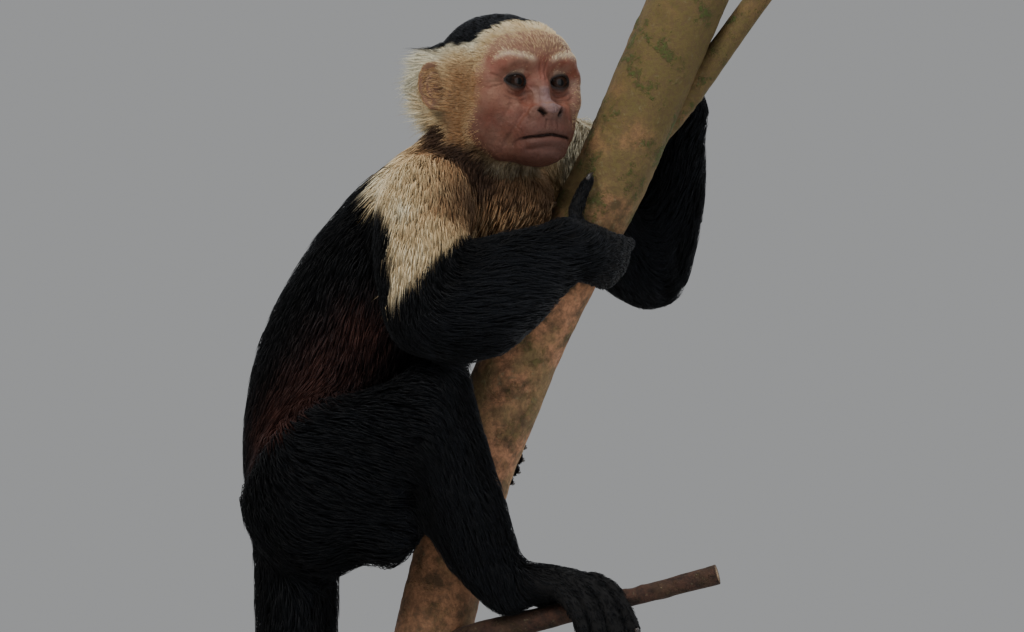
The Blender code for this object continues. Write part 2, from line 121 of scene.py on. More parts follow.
def smooth_path(stations: list[Row], count: int) -> Array:
    """Stations resampled evenly along a Catmull-Rom curve through them.

    Args:
        stations: Rows of coordinates, and of any sizes that change along with them.
        count: How many rows to give back.

    Returns:
        An array of count rows.
    """
    rows = np.array(stations, float)
    rows = np.vstack([2 * rows[0] - rows[1], rows, 2 * rows[-1] - rows[-2]])
    place = np.linspace(0, len(rows) - 3, count)
    start = np.minimum(place.astype(int), len(rows) - 4)
    t = (place - start)[:, None]
    a, b, c, d = (rows[start + k] for k in range(4))
    return 0.5 * (2 * b + (c - a) * t + (2 * a - 5 * b + 4 * c - d) * t**2 + (3 * b - a - 3 * c + d) * t**3)


# ---------------- meshes
def put(name: str, data: bpy.types.ID) -> Object:
    """Puts a mesh, a light or a camera into the scene.

    Args:
        name: The object's name.
        data: What it shows.

    Returns:
        The new object.
    """
    obj = bpy.data.objects.new(name, data)
    bpy.context.scene.collection.objects.link(obj)
    return obj


def add_mesh(name: str, points: Array, faces: Array) -> Object:
    """Makes a smooth object from arrays.

    Args:
        name: The piece's name.
        points: Rows of x, y, z in millimetres.
        faces: Rows of three corner numbers.

    Returns:
        The new object, in the scene.
    """
    data = bpy.data.meshes.new(name)
    data.vertices.add(len(points))
    data.vertices.foreach_set("co", (points * MM).astype(np.float32).ravel())
    data.loops.add(faces.size)
    data.loops.foreach_set("vertex_index", faces.astype(np.int32).ravel())
    data.polygons.add(len(faces))
    data.polygons.foreach_set("loop_start", np.arange(0, faces.size, 3, dtype=np.int32))
    data.update(calc_edges=True)
    data.polygons.foreach_set("use_smooth", np.full(len(faces), True))
    return put(name, data)


def read_rows(items: bpy.types.bpy_prop_collection, key: str, width: int, kind: type) -> Array:
    """Reads a property of a mesh's vertices, edges or triangles.

    Args:
        items: The vertices, edges or triangles.
        key: The property's name.
        width: How many numbers it has.
        kind: The type of the numbers.

    Returns:
        One row for each item.
    """
    flat = np.empty(len(items) * width, kind)
    items.foreach_get(key, flat)
    return flat.reshape(-1, width)


def points_of(obj: Object) -> Array:
    """The mesh's vertices in millimetres."""
    return read_rows(obj.data.vertices, "co", 3, np.float32).astype(float) / MM


def move_points(obj: Object, points: Array) -> None:
    """Puts the mesh's vertices at points in millimetres."""
    obj.data.vertices.foreach_set("co", (points * MM).astype(np.float32).ravel())
    obj.data.update()


def triangles_of(obj: Object) -> Array:
    """The corner numbers of the mesh's triangles."""
    obj.data.calc_loop_triangles()
    return read_rows(obj.data.loop_triangles, "vertices", 3, np.int32)


def normals_of(points: Array, triangles: Array) -> Array:
    """Works out smooth normals.

    Args:
        points: Rows of x, y, z.
        triangles: Rows of three corner numbers.

    Returns:
        The outward direction at each point, from the triangles round it.
    """
    a, b, c = (points[triangles[:, k]] for k in range(3))
    across = np.cross(b - a, c - a)
    total = np.zeros_like(points)
    for k in range(3):
        for axis in range(3):
            total[:, axis] += np.bincount(triangles[:, k], across[:, axis], len(points))
    return unit(total)


def heap(shapes: list[tuple[Array, Array]]) -> tuple[Array, Array]:
    """Takes several shapes as one.

    Args:
        shapes: The points and the triangles of each.

    Returns:
        All the points, and the triangles between them.
    """
    starts = np.cumsum([0, *(len(points) for points, _ in shapes)])
    triangles = [corners + start for (_, corners), start in zip(shapes, starts)]
    return np.vstack([points for points, _ in shapes]), np.vstack(triangles)


class Weave:
    """The edges of a mesh, kept to even values out over its surface."""

    def __init__(self, obj: Object) -> None:
        """Reads the edges.

        Args:
            obj: The object whose mesh is read.
        """
        ends = read_rows(obj.data.edges, "vertices", 2, np.int32)
        self.first = np.concatenate([ends[:, 0], ends[:, 1]])
        self.second = np.concatenate([ends[:, 1], ends[:, 0]])
        self.count = np.maximum(np.bincount(self.first, minlength=len(obj.data.vertices)), 1)

    def relax(self, values: Array, amount: Array | float, rounds: int) -> Array:
        """Moves each vertex's value towards the mean of its neighbours.

        Args:
            values: One value or one row for each vertex.
            amount: The share moved each round, one number or one for each vertex.
            rounds: How many times.

        Returns:
            The evened values.
        """
        columns = values.reshape(len(self.count), -1).copy()
        share = np.asarray(amount, float) * np.ones(len(self.count))
        for _ in range(rounds):
            for k in range(columns.shape[1]):
                mean = np.bincount(self.first, columns[self.second, k], len(self.count)) / self.count
                columns[:, k] += share * (mean - columns[:, k])
        return columns.reshape(values.shape)


def give(obj: Object, name: str, values: Array) -> None:
    """Stores one number for each vertex under a name that the finishes read."""
    layer = obj.data.attributes.new(name, "FLOAT", "POINT")
    layer.data.foreach_set("value", values.astype(np.float32))


def tube_faces(rings: int, sides: int) -> Array:
    """Closes a tube whose points are its rings in a row, and then the middles of its two ends.

    Args:
        rings: How many rings it has.
        sides: How many corners each ring has.

    Returns:
        The triangles, facing outwards where the rings turn left round the way they go.
    """
    turn = np.arange(sides)
    step = (turn + 1) % sides
    start = np.arange(rings - 1)[:, None] * sides
    low, after = (start + turn).ravel(), (start + step).ravel()
    last, middle = (rings - 1) * sides, np.full(sides, rings * sides)
    corners = (
        (low, after, after + sides),
        (low, after + sides, low + sides),
        (middle, step, turn),
        (middle + 1, last + turn, last + step),
    )
    return np.vstack([np.stack(three, axis=1) for three in corners])


def bar(rows: Array, sides: int, relief: Array | None = None) -> tuple[Array, Array]:
    """A closed round bar along a path with flat ends.

    Args:
        rows: Rows of x, y, z and radius in millimetres.
        sides: How many corners each ring has.
        relief: What to add to the radius, one row for each ring and one column for each corner.

    Returns:
        Its points and its triangles.
    """
    centres, radii = rows[:, :3], rows[:, 3]
    along = unit(np.gradient(centres, axis=0))
    side = unit(np.cross(along[0], (0.31, 0.95, 0.05)))
    angles = np.linspace(0, 2 * math.pi, sides, endpoint=False)
    rings = []
    for k, (centre, axis) in enumerate(zip(centres, along)):
        side = unit(side - axis * side.dot(axis))
        front = np.cross(axis, side)
        reach = radii[k] + (relief[k] if relief is not None else 0)
        spokes = np.outer(np.cos(angles), side) + np.outer(np.sin(angles), front)
        rings.append(centre + spokes * np.reshape(reach * np.ones(sides), (-1, 1)))
    return np.vstack([*rings, centres[:1], centres[-1:]]), tube_faces(len(rings), sides)


# ---------------- shader maths
class Value:
    """A shader socket, so that an expression on it adds the nodes that work it out."""

    def __init__(self, tree: "Finish", socket: bpy.types.NodeSocket) -> None:
        """Wraps one output socket."""
        self.tree = tree
        self.socket = socket

    def _with(self, operation: str, first: object, second: object = 0.0) -> "Value":
        """Adds a Math node."""
        return self.tree.node("ShaderNodeMath", {"operation": operation}, {0: first, 1: second}).out()

    def __add__(self, other: object) -> "Value":
        """Sum."""
        return self._with("ADD", self, other)

    def __radd__(self, other: object) -> "Value":
        """Sum, with the number first."""
        return self._with("ADD", other, self)

    def __sub__(self, other: object) -> "Value":
        """Difference."""
        return self._with("SUBTRACT", self, other)

    def __rsub__(self, other: object) -> "Value":
        """Difference, with the number first."""
        return self._with("SUBTRACT", other, self)

    def __mul__(self, other: object) -> "Value":
        """Product."""
        return self._with("MULTIPLY", self, other)

    def __rmul__(self, other: object) -> "Value":
        """Product, with the number first."""
        return self._with("MULTIPLY", other, self)

    def fit(self, low: float, high: float) -> "Value":
        """0 at low and 1 at high, held between them."""
        inputs = {"Value": self, "From Min": low, "From Max": high}
        return self.tree.node("ShaderNodeMapRange", {"clamp": True}, inputs).out()


class Node:
    """A shader node, with its outputs as values."""

    def __init__(self, tree: "Finish", node: bpy.types.Node) -> None:
        """Wraps one node."""
        self.tree = tree
        self.node = node

    def out(self, name: str | int = 0) -> Value:
        """One of the node's outputs."""
        return Value(self.tree, self.node.outputs[name])


class Finish:
    """A material under construction, around one Principled shader."""

    def __init__(self, name: str) -> None:
        """Makes the material with its shader and output.

        Args:
            name: The material's name.
        """
        self.material = bpy.data.materials.new(name)
        self.material.use_nodes = True
        self.nodes = self.material.node_tree.nodes
        self.links = self.material.node_tree.links
        self.shader = self.nodes["Principled BSDF"]

    def node(self, kind: str, settings: dict[str, object], inputs: dict[str | int, object]) -> Node:
        """Adds a node.

        Args:
            kind: The node's type.
            settings: Its properties, which are set first.
            inputs: A value or a link for each socket, by name or number.

        Returns:
            The node.
        """
        made = self.nodes.new(kind)
        for key, value in settings.items():
            setattr(made, key, value)
        for key, value in inputs.items():
            self.feed(made.inputs[key], value)
        return Node(self, made)

    def feed(self, socket: bpy.types.NodeSocket, value: object) -> None:
        """Fills a socket.

        Args:
            socket: The input socket.
            value: A value to link to it, or a number, a colour or a vector to set it to.
        """
        if isinstance(value, Value):
            self.links.new(value.socket, socket)
        elif isinstance(value, tuple) and socket.type == "RGBA" and len(value) == 3:
            socket.default_value = (*value, 1)
        else:
            socket.default_value = value

    def set(self, **inputs: object) -> None:
        """Feeds the Principled shader, with underscores for the spaces in its sockets' names."""
        for key, value in inputs.items():
            self.feed(self.shader.inputs[key.replace("_", " ")], value)

    def mark(self, name: str) -> Value:
        """A number stored on the mesh."""
        return self.node("ShaderNodeAttribute", {"attribute_name": name}, {}).out("Fac")

    def place(self) -> Value:
        """The position on the piece."""
        return self.node("ShaderNodeTexCoord", {}, {}).out("Object")

    def grain(self, size: float, detail: float = 3.0, rough: float = 0.55) -> Value:
        """Noise from 0 to 1 with grains of about that size in millimetres."""
        inputs = {"Scale": 1 / (size * MM), "Detail": detail, "Roughness": rough, "Vector": self.place()}
        return self.node("ShaderNodeTexNoise", {}, inputs).out()

    def cells(self, size: float) -> Value:
        """The distance to the nearest of cells of that size in millimetres, from 0 at a middle."""
        inputs = {"Scale": 1 / (size * MM), "Vector": self.place()}
        return self.node("ShaderNodeTexVoronoi", {}, inputs).out("Distance")

    def mix(self, share: object, first: object, second: object) -> Value:
        """Mixes two colours.

        Args:
            share: 0 for the first colour and 1 for the second.
            first: A colour or a value.
            second: A colour or a value.

        Returns:
            The colour between them.
        """
        made = self.node("ShaderNodeMix", {"data_type": "RGBA"}, {"Factor": share})
        self.feed(made.node.inputs[6], first)
        self.feed(made.node.inputs[7], second)
        return made.out(2)

    def layers(self, under: object, *over: tuple[object, object]) -> object:
        """Lays colours over one another.

        Args:
            under: The lowest colour.
            over: How much of each further colour shows, and the colour.

        Returns:
            The colour that is seen.
        """
        for share, colour in over:
            under = self.mix(share, under, colour)
        return under

    def bump(self, height: Value, depth: float, under: Value | None = None, strength: float = 1.0) -> Value:
        """Bumps the surface.

        Args:
            height: The relief, from 0 to 1.
            depth: The depth in millimetres that a height of 1 stands for.
            under: A bumped normal that this one lies on.
            strength: How much of it shows.

        Returns:
            The bumped normal.
        """
        inputs = {"Height": height, "Distance": depth * MM, "Strength": strength}
        if under:
            inputs["Normal"] = under
        return self.node("ShaderNodeBump", {}, inputs).out()


# ---------------- the animal's landmarks
class Side(Enum):
    """The animal's own right and left."""

    RIGHT = "R"
    LEFT = "L"

    @property
    def sign(self) -> int:
        """-1 on the right and 1 on the left."""
        return 1 if self is Side.LEFT else -1


def middle_of(node: str) -> Array:
    """The middle of a node's box in millimetres."""
    low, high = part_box(node)
    return np.array((low + high) / 2) / MM


@dataclass(frozen=True)
class HeadAxes:
    """The head's own axes, found from where the two eyes sit.

    Its origin is behind and below the point midway between the eyes.
    """

    eye_forward: float = 26.0
    eye_up: float = 5.8

    @property
    def turn(self) -> Array:
        """Rows that point forward, left and up."""
        left, up = unit(middle_of("eye_L") - middle_of("eye_R")), (0.0, 0.0, 1.0)
        return np.array((np.cross(left, up), left, up))

    @property
    def origin(self) -> Array:
        """The head's centre in the row's frame."""
        between = (middle_of("eye_L") + middle_of("eye_R")) / 2
        return between - np.array((self.eye_forward, 0, self.eye_up)) @ self.turn

    def inward(self, points: Array) -> Array:
        """Points of the row's frame, as forward, left and up."""
        return (points - self.origin) @ self.turn.T

    def outward(self, points: Array) -> Array:
        """Points given forward, left and up, in the row's frame."""
        return self.origin + np.asarray(points, float) @ self.turn


HEAD = HeadAxes()


def pair(right: Row, left: Row) -> dict[Side, Row]:
    """A field that holds a place on the right and a place on the left."""
    return field(default_factory=lambda: {Side.RIGHT: right, Side.LEFT: left})


@dataclass(frozen=True)
class Pose:
    """Where the joints are, as in the solids, in millimetres."""

    rump: Row = (-44, 0, 300)
    loin: Row = (-27, 0, 374)
    ribs: Row = (2, -1, 448)
    nape: Row = (52, -6, 524)
    shoulder: dict[Side, Row] = pair((34, -42, 508), (104, 38, 535))
    elbow: dict[Side, Row] = pair((34, -84, 438), (169, 57, 466))
    wrist: dict[Side, Row] = pair((119, -43, 478), (190, 46, 556))
    hip: dict[Side, Row] = pair((-37, -30, 320), (-38, 30, 324))
    knee: dict[Side, Row] = pair((37, -64, 386), (20, 62, 405))
    ankle: dict[Side, Row] = pair((84, -47, 275), (52, 54, 306))
    tail: tuple[Row, ...] = ((-44, 0, 308), (-44, 0, 272), (-44, -1, 240), (-42, -5, 212), (-34, -14, 190))


POSE = Pose()


@dataclass(frozen=True)
class BranchLine:
    """The leaning branch's centre line, and the heights at which the animal holds it, as in the solids."""

    radius: float = 23.5
    near_hand: float = 477
    far_hand: float = 578
    far_foot: float = 346
    tail_heights: Row = (172, 104)
    stations: tuple[Row, ...] = (
        (0, 0, 58),
        (19, 0, 153),
        (38, 0, 249),
        (48, 0, 290),
        (63, 0, 345),
        (89, 0, 411),
        (110, 0, 456),
        (130, 0, 494),
        (149, 0, 532),
        (164, 0, 567),
        (196, 0, 640),
    )
    fork: tuple[Row, ...] = (
        (166, 4, 545, 11),
        (183, 6, 562, 9.5),
        (199, 6, 582, 8.3),
        (214, 5, 603, 8),
        (238, 3, 636, 7.6),
    )
    twig: tuple[Row, ...] = (
        (42, -6, 236, 11),
        (62, -24, 246, 9.5),
        (84, -38, 254, 8),
        (112, -46, 262, 7),
        (160, -54, 274, 5.8),
        (206, -62, 286.5, 6.4),
    )

    def tail_place(self, share: float) -> Array:
        """The tail's centre on its turn round the branch, from 0 where it starts to 1 at the tip."""
        height = self.tail_heights[0] + (self.tail_heights[1] - self.tail_heights[0]) * share
        return self.beside(height, -52 + 330 * share, self.radius + (20 - 10 * share) + 2.5)

    def rows(self, count: int) -> Array:
        """Evenly spread centres with the branch's radius."""
        return smooth_path([(*spot, self.radius) for spot in self.stations], count)

    def at(self, height: float) -> tuple[Array, Array]:
        """Finds a place on the centre line.

        Args:
            height: How high it is.

        Returns:
            The centre and the unit axis there.
        """
        line = self.rows(240)[:, :3]
        i = int(np.argmin(abs(line[:, 2] - height)))
        axis = line[min(i + 3, len(line) - 1)] - line[max(i - 3, 0)]
        return line[i], unit(axis)

    def beside(self, height: float, angle: float, radius: float, along: float = 0.0) -> Array:
        """A point beside the branch, by the angle from its near side round over +X.

        Args:
            height: Height of the branch's centre there.
            angle: Degrees round the branch.
            radius: Distance from the centre line.
            along: Distance along the axis from there.

        Returns:
            The point in millimetres.
        """
        centre, axis = self.at(height)
        near = np.array((0.0, -1.0, 0.0))
        turn = math.radians(angle)
        spoke = math.cos(turn) * near + math.sin(turn) * np.cross(axis, near)
        return centre + radius * spoke + along * axis

    def clear(self, points: Array, gap: float) -> Array:
        """Moves the points that lie in the wood out of it.

        Args:
            points: Rows of x, y, z.
            gap: How far beyond the wood's surface they come to lie.

        Returns:
            All the points.
        """
        out = points.copy()
        for rows in (self.rows(60), smooth_path(self.fork, 24), smooth_path(self.twig, 24)):
            dense = smooth_path(rows, len(rows) * 4)
            tree = KDTree(len(dense))
            for i, spot in enumerate(dense):
                tree.insert(spot[:3], i)
            tree.balance()
            low = dense[:, :3].min(0) - 40
            high = dense[:, :3].max(0) + 40
            for i in np.nonzero(((out > low) & (out < high)).all(1))[0]:
                _, nearest, distance = tree.find(out[i])
                centre, reach = dense[nearest, :3], dense[nearest, 3] + gap
                if distance < reach:
                    out[i] = centre + (out[i] - centre) * (reach / max(distance, 0.1))
        return out


BRANCH = BranchLine()


# ---------------- hands and feet
@dataclass(frozen=True)
class Digit:
    """One finger or toe: its centre line with radii, and the point that its back faces away from."""

    rows: Array
    inside: Array

    @property
    def tip(self) -> Array:
        """The last centre."""
        return self.rows[-1, :3]


def round_branch(height: float, turns: Row, along: float, radii: Row, climb: float = 0.0) -> Digit:
    """A digit that lies round the branch.

    Args:
        height: Height of the branch's centre at the hand.
        turns: Degrees round the branch, from the root to the tip.
        along: Distance up the branch's axis.
        radii: Radius at the root and at the tip.
        climb: How far it rises along the branch by its tip.

    Returns:
        The digit.
    """
    rows = []
    for i, angle in enumerate(turns):
        radius = radii[0] + (radii[1] - radii[0]) * i / (len(turns) - 1)
        lift = BRANCH.radius + radius + 0.6 + 2.5 * (i == 0)
        rise = climb * i / (len(turns) - 1)
        rows.append((*BRANCH.beside(height, angle, lift, along + rise), radius))
    return Digit(smooth_path(rows, 24), BRANCH.beside(height, turns[-1], 0.0, along))


def free_digit(stations: list[Row], inside: Row | Array) -> Digit:
    """A digit through given stations of x, y, z and radius."""
    return Digit(smooth_path(stations, 24), np.array(inside, float))


def thumb(height: float, stations: tuple[Row, ...], inside: Triple) -> Digit:
    """A thumb that lies along the branch.

    Args:
        height: Height of the branch's centre at the hand.
        stations: Degrees round the branch, distance from its middle, distance up its axis and radius.
        inside: The same without the radius, for the point that the thumb's back faces away from.

    Returns:
        The thumb.
    """
    rows = [(*BRANCH.beside(height, *place), radius) for *place, radius in stations]
    return free_digit(rows, BRANCH.beside(height, *inside))


def all_digits() -> dict[str, list[Digit]]:
    """Lays out every finger and toe.

    Returns:
        The digits of each hand and foot, by its node.
    """
    hand_r = [
        round_branch(BRANCH.near_hand, (44, 70, 98, 126, last), along, (5.2, 4.1), 6)
        for along, last in ((18.5, 148), (10.2, 156), (1.8, 154), (-6.4, 142))
    ]
    stations = ((0, 36, 8, 6.5), (-18, 31, 22, 5.6), (-23, 29, 43, 4.4))
    hand_r.append(thumb(BRANCH.near_hand, stations, (-30, 0, 44)))
    hand_l = [
        round_branch(BRANCH.far_hand, (176, 190, 204, last), along, (5, 4))
        for along, last in ((22, 212), (14, 218), (6, 218), (-2, 210))
    ]
    stations = ((160, 36, 8, 6.5), (138, 31, 16, 5.4), (122, 29, 28, 4.6))
    hand_l.append(thumb(BRANCH.far_hand, stations, (122, 0, 28)))
    toes = (
        ((120, -45, 281), (138, -51, 283), (150, -59, 271), (158, -63, 253)),
        ((120, -51, 281), (134, -59, 279), (143, -65, 265), (148, -66, 247)),
        ((117, -57, 279), (128, -65, 273), (135, -69, 258), (138, -67, 242)),
        ((113, -61, 277), (121, -69, 268), (126, -71, 254), (128, -68, 240)),
    )
    foot_r = []
    for joints in toes:
        stations = [(*joint, radius) for joint, radius in zip(joints, (5.8, 5.6, 5, 4.3))]
        x, y, z = joints[-1]
        foot_r.append(free_digit(stations, (x - 6, y + 18, z)))
    big_toe = [(90, -40, 276, 7.5), (104, -32, 270, 6.5), (120, -30, 263, 5.6), (134, -33, 257, 5)]
    foot_r.append(free_digit(big_toe, (134, -49, 264)))
    foot_l = [
        round_branch(BRANCH.far_foot, tuple(np.linspace(first, last, 4)), along, (5.2, 4))
        for along, first, last in ((22, 172, 130), (14.4, 168, 126), (6.8, 166, 126), (-0.8, 164, 130))
    ]
    foot_l.append(round_branch(BRANCH.far_foot, (190, 222, 252, 276), -16, (6.8, 5)))
    return {"hand_R": hand_r, "hand_L": hand_l, "foot_R": foot_r, "foot_L": foot_l}


DIGITS = all_digits()


# ---------------- how the coat grows
@dataclass(frozen=True)
class Hair:
    """The coat of one part of the body, in millimetres, with its tufts for each square centimetre."""

    depth: float
    length: float
    width: float
    crowd: float


HAIR = {
    "head": Hair(4.2, 10, 0.5, 210),
    "ear": Hair(0.5, 6.5, 0.28, 130),
    "neck": Hair(6.0, 16, 0.6, 128),
    "trunk": Hair(7.0, 25, 0.9, 40),
    "upper_arm": Hair(6.0, 18, 0.6, 118),
    "forearm": Hair(5.0, 18, 0.85, 46),
    "hand": Hair(0.9, 5, 0.55, 52),
    "thigh": Hair(7.0, 22, 0.95, 42),
    "shank": Hair(5.0, 17, 0.85, 44),
    "foot": Hair(0.9, 4.5, 0.55, 46),
    "tail": Hair(7.0, 21, 0.95, 36),
}

FLESH = sorted(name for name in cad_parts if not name.startswith(("eye_", "perch_", "stand_")))


def kind_of(node: str) -> str:
    """The part of the body that a flesh node belongs to."""
    return node.removesuffix("_R").removesuffix("_L").rstrip("_1234")


def hair_table(key: str) -> Array:
    """One of the coat's measures, for each node in FLESH."""
    return np.array([getattr(HAIR[kind_of(name)], key) for name in FLESH], float)


@dataclass
class Surface:
    """A mesh's points, its triangles, and the number in FLESH of the solid nearest to each point."""

    points: Array
    triangles: Array
    labels: Array

    @property
    def local(self) -> Array:
        """The points as forward, left and up in the head's axes."""
        return HEAD.inward(self.points)

    @property
    def normals(self) -> Array:
        """The outward directions at the points."""
        return normals_of(self.points, self.triangles)

    def kind(self, *kinds: str) -> Array:
        """Which of the points are on parts of those kinds."""
        return np.array([kind_of(name) in kinds for name in FLESH])[self.labels]

    def node(self, name: str) -> Array:
        """Which of the points are on that node."""
        return self.labels == FLESH.index(name)


class Solids:
    """The flesh solids, to tell which of them a point of the skin belongs to."""

    def __init__(self) -> None:
        """Reads the solids' triangles."""
        shapes = [(points_of(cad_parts[name]), triangles_of(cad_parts[name])) for name in FLESH]
        self.owners = np.repeat(np.arange(len(shapes)), [len(corners) for _, corners in shapes])
        points, triangles = heap(shapes)
        self.tree = BVHTree.FromPolygons(points.tolist(), triangles.tolist())

    def labels(self, points: Array) -> Array:
        """The number in FLESH of the solid nearest to each point."""
        return self.owners[[self.tree.find_nearest(spot)[2] for spot in points.tolist()]]

    def surface(self, obj: Object) -> Surface:
        """The object's points, each with its solid."""
        points = points_of(obj)
        return Surface(points, triangles_of(obj), self.labels(points))


# ---------------- the skin
@dataclass(frozen=True)
class Stroke:
    """A raised or sunken line on the face, given in the head's axes.

    A stroke with a side to it is made on both sides. Its height is negative where it cuts in, and a tint
    may colour the skin along it; a dark or brown tint along a sunken line is painted shade in it.
    """

    path: tuple[Triple, ...]
    width: float
    height: float
    tint: str = ""
    amount: float = 0.0
    spread: float = 1.0


MOUTH = ((48, 0, -25.8), (46, 7, -26.6), (42.5, 13, -27.2), (38.5, 18, -28.8))
CHEEK = ((42, 13, -8), (39.5, 15.5, -13), (38, 20, -21), (34, 24, -29), (30, 25, -36))
LOWER_LID = ((37, 6.5, 0.4), (34.5, 12, -2.2), (31.5, 18, -2.6), (28, 24, 0))
UNDER_EYE = ((36.5, 8, -2.8), (33.5, 14, -5.9), (30.5, 20, -6.1), (27, 25, -3))

FACE_STROKES = [
    Stroke(*row)
    for row in (
        # mouth
        (MOUTH, 0.7, -1.9),
        # dark mouth line: painted shade in the slit, partly the lips' dark edge
        (MOUTH, 0.65, 0, "dark", 0.85, 1.1),
        (((47, 0, -21), (44, 10, -23), (40, 18, -28)), 5.0, 0, "lip", 0.65),
        (((44, 0, -35), (41, 10, -36), (36, 17, -36)), 5.5, 0, "lip", 0.85),
        # brown in the mouth-corner fold: painted shade
        (((40, 17, -28.6), (37, 20, -30.8), (35, 22, -34)), 1.0, -0.7, "brown", 0.5),
        (((48, 0, -21), (46, 8, -21.6), (41, 15, -24)), 3.2, 0.7),
        (((48, 0, -23.8), (46, 7, -24.2), (42, 13, -25.6)), 1.5, 0.5, "brown", 0.95, 1.9),
        (((47, 0, -29.2), (45, 8, -29.8), (40, 15, -31.6)), 2.7, 1.7, "lip", 0.9, 1.4),
        # brown in the groove under the lower lip: painted shade
        (((46, 0, -33.2), (43, 8, -33.6), (38, 14, -34.6)), 1.6, -0.9, "brown", 0.5, 1.3),
        (((45, 0, -37.5), (42, 8, -38)), 4.2, 0.7, "lip", 0.4),
        # nose
        # dark nostril: painted shade in the hole
        (((44.4, 8.8, -10.4), (46.2, 6.8, -12.2), (47.4, 4.3, -15.2)), 1.2, -3.0, "dark", 1.0, 1.25),
        (((48.6, 5.0, -9.4), (45.5, 9.8, -8.8), (42.5, 12.6, -12.2), (42.5, 11.8, -16.6)), 1.4, 1.15),
        (((47, 0, -5), (50, 0, -9), (50.5, 0, -14)), 2.9, 0.8, "lilac", 0.85, 1.6),
        (((46, 3.6, -6), (46, 7.5, -9)), 2.6, 0.2, "lilac", 0.75, 1.2),
        (((50, 0, -8), (50.5, 0, -15.5)), 0.6, -0.45),
        (((40, 0, 4), (42, 0, -2), (46, 0, -7)), 3.0, 0.5, "lilac", 0.75, 1.5),
        (((38, 5.2, 4), (40, 6, -2), (43.5, 8.6, -6)), 1.4, -0.7),
        # brown philtrum lines: painted shade in the creases
        (((47, 3.4, -16), (47.5, 4.2, -19), (48, 4.6, -23)), 1.0, -0.7, "brown", 0.7, 1.5),
        (((48, 0, -16.5), (48.5, 0, -21)), 1.8, -0.4, "red", 0.85, 1.6),
        # cheeks
        # brown in the two cheek folds: painted shade
        (CHEEK, 1.8, -1.4, "brown", 0.45),
        (((36, 20, -7), (33, 25, -15), (30, 28, -25)), 2.0, -0.7, "brown", 0.35),
        (((37, 15, -6), (34, 20, -11)), 3.2, 0.8),
        (((42, 15, -17), (40, 19, -23)), 3.0, 0.7),
        # brows and forehead
        (((38, 4, 15.5), (37, 11, 18.6), (32, 19, 18.4), (26, 27, 13)), 3.2, 0.8),
        (((37.5, 4, 18.5), (35.5, 12, 21), (31, 20, 20.4), (26, 26, 17)), 1.1, 0.15, "pale", 0.85, 1.2),
        # brown at the inner corner of the eye: painted shade
        (((37.5, 6.5, 9), (37, 6.5, 3)), 1.8, 0, "brown", 0.6),
        (((39, 1.7, 6), (38.5, 1.9, 12), (37, 2.4, 19)), 0.7, -0.75, "red", 0.8, 1.7),
        (((39, 0, 6), (37.5, 0, 16), (36, 0, 23)), 1.6, 0.15, "red", 0.6, 2.0),
        (((37, 3, 24.5), (34, 12, 26.4), (28, 21, 24)), 1.0, -0.35, "red", 0.25),
        (((36, 2, 29), (32, 12, 30.8), (26, 20, 28.6)), 1.0, -0.3, "red", 0.2),
        (((34, 1, 33.5), (29, 12, 34.5)), 1.0, -0.25),
        # round the eyes
        # brown in the creases under the eye: painted shade
        (LOWER_LID, 0.8, -0.75, "brown", 0.5, 1.6),
        (UNDER_EYE, 0.8, -0.55, "brown", 0.3, 1.5),
        (((36, 10, -6), (33, 16, -9), (30, 21, -9)), 0.8, -0.35),
        (((36.5, 6.5, 11.4), (35.4, 12.6, 13.4), (32, 19.6, 12.8), (27, 25.2, 9.4)), 1.1, -0.55),
        # tan and pale on the upper lid: painted light against the shadow of the brow
        (((36.5, 9, 10.6), (34.5, 15, 11.4), (31, 21, 10)), 2.6, 0, "tan", 0.9),
        (((36.5, 9, 11), (34.5, 15, 12), (31, 21, 10.4)), 2.2, 0, "pale", 0.4),
        (((27, 24.6, 7), (23, 28, 9)), 0.7, -0.5),
        (((27, 24.6, 5.4), (22.5, 28.8, 5)), 0.7, -0.5),
        (((27, 24.4, 3.8), (23, 28, 1)), 0.7, -0.45),
        (((33, 22, 2), (30, 27, -6), (28, 28, -14)), 5.0, 0.0, "red", 0.5),
        (((33, 22, 16), (27, 29, 10)), 4.0, 0.0, "red", 0.45),
    )
]


@dataclass(frozen=True)
class Eyelids:
    """The almond opening in front of an eyeball, and the lids that lie over the ball round it."""

    ball: float = 8.4
    half_width: float = 7.9
    upper: float = 4.0
    lower: float = 3.3
    tilt: float = 0.08
    lid: float = 9.25
    behind: float = 7.6

    def centre(self, side: Side) -> Array:
        """The ball's centre in the head's axes."""
        return HEAD.inward(middle_of(f"eye_{side.value}"))

    def opening(self, across: Array, up: Array) -> Array:
        """How far inside the opening a place is, in millimetres, and negative outside it.

        Args:
            across: Distances from the eye's middle, away from the nose.
            up: Heights above the eye's middle.

        Returns:
            The depth inside the opening's edge.
        """
        share = np.clip(1 - (across / self.half_width) ** 2, 0, 1)
        level = up - self.tilt * across - 0.3
        inside = np.minimum(self.upper * share**0.62 - level, level + self.lower * share**0.75)
        beyond = np.maximum(abs(across) - self.half_width, 0)
        return np.where(beyond > 0, -np.hypot(beyond, level), inside)


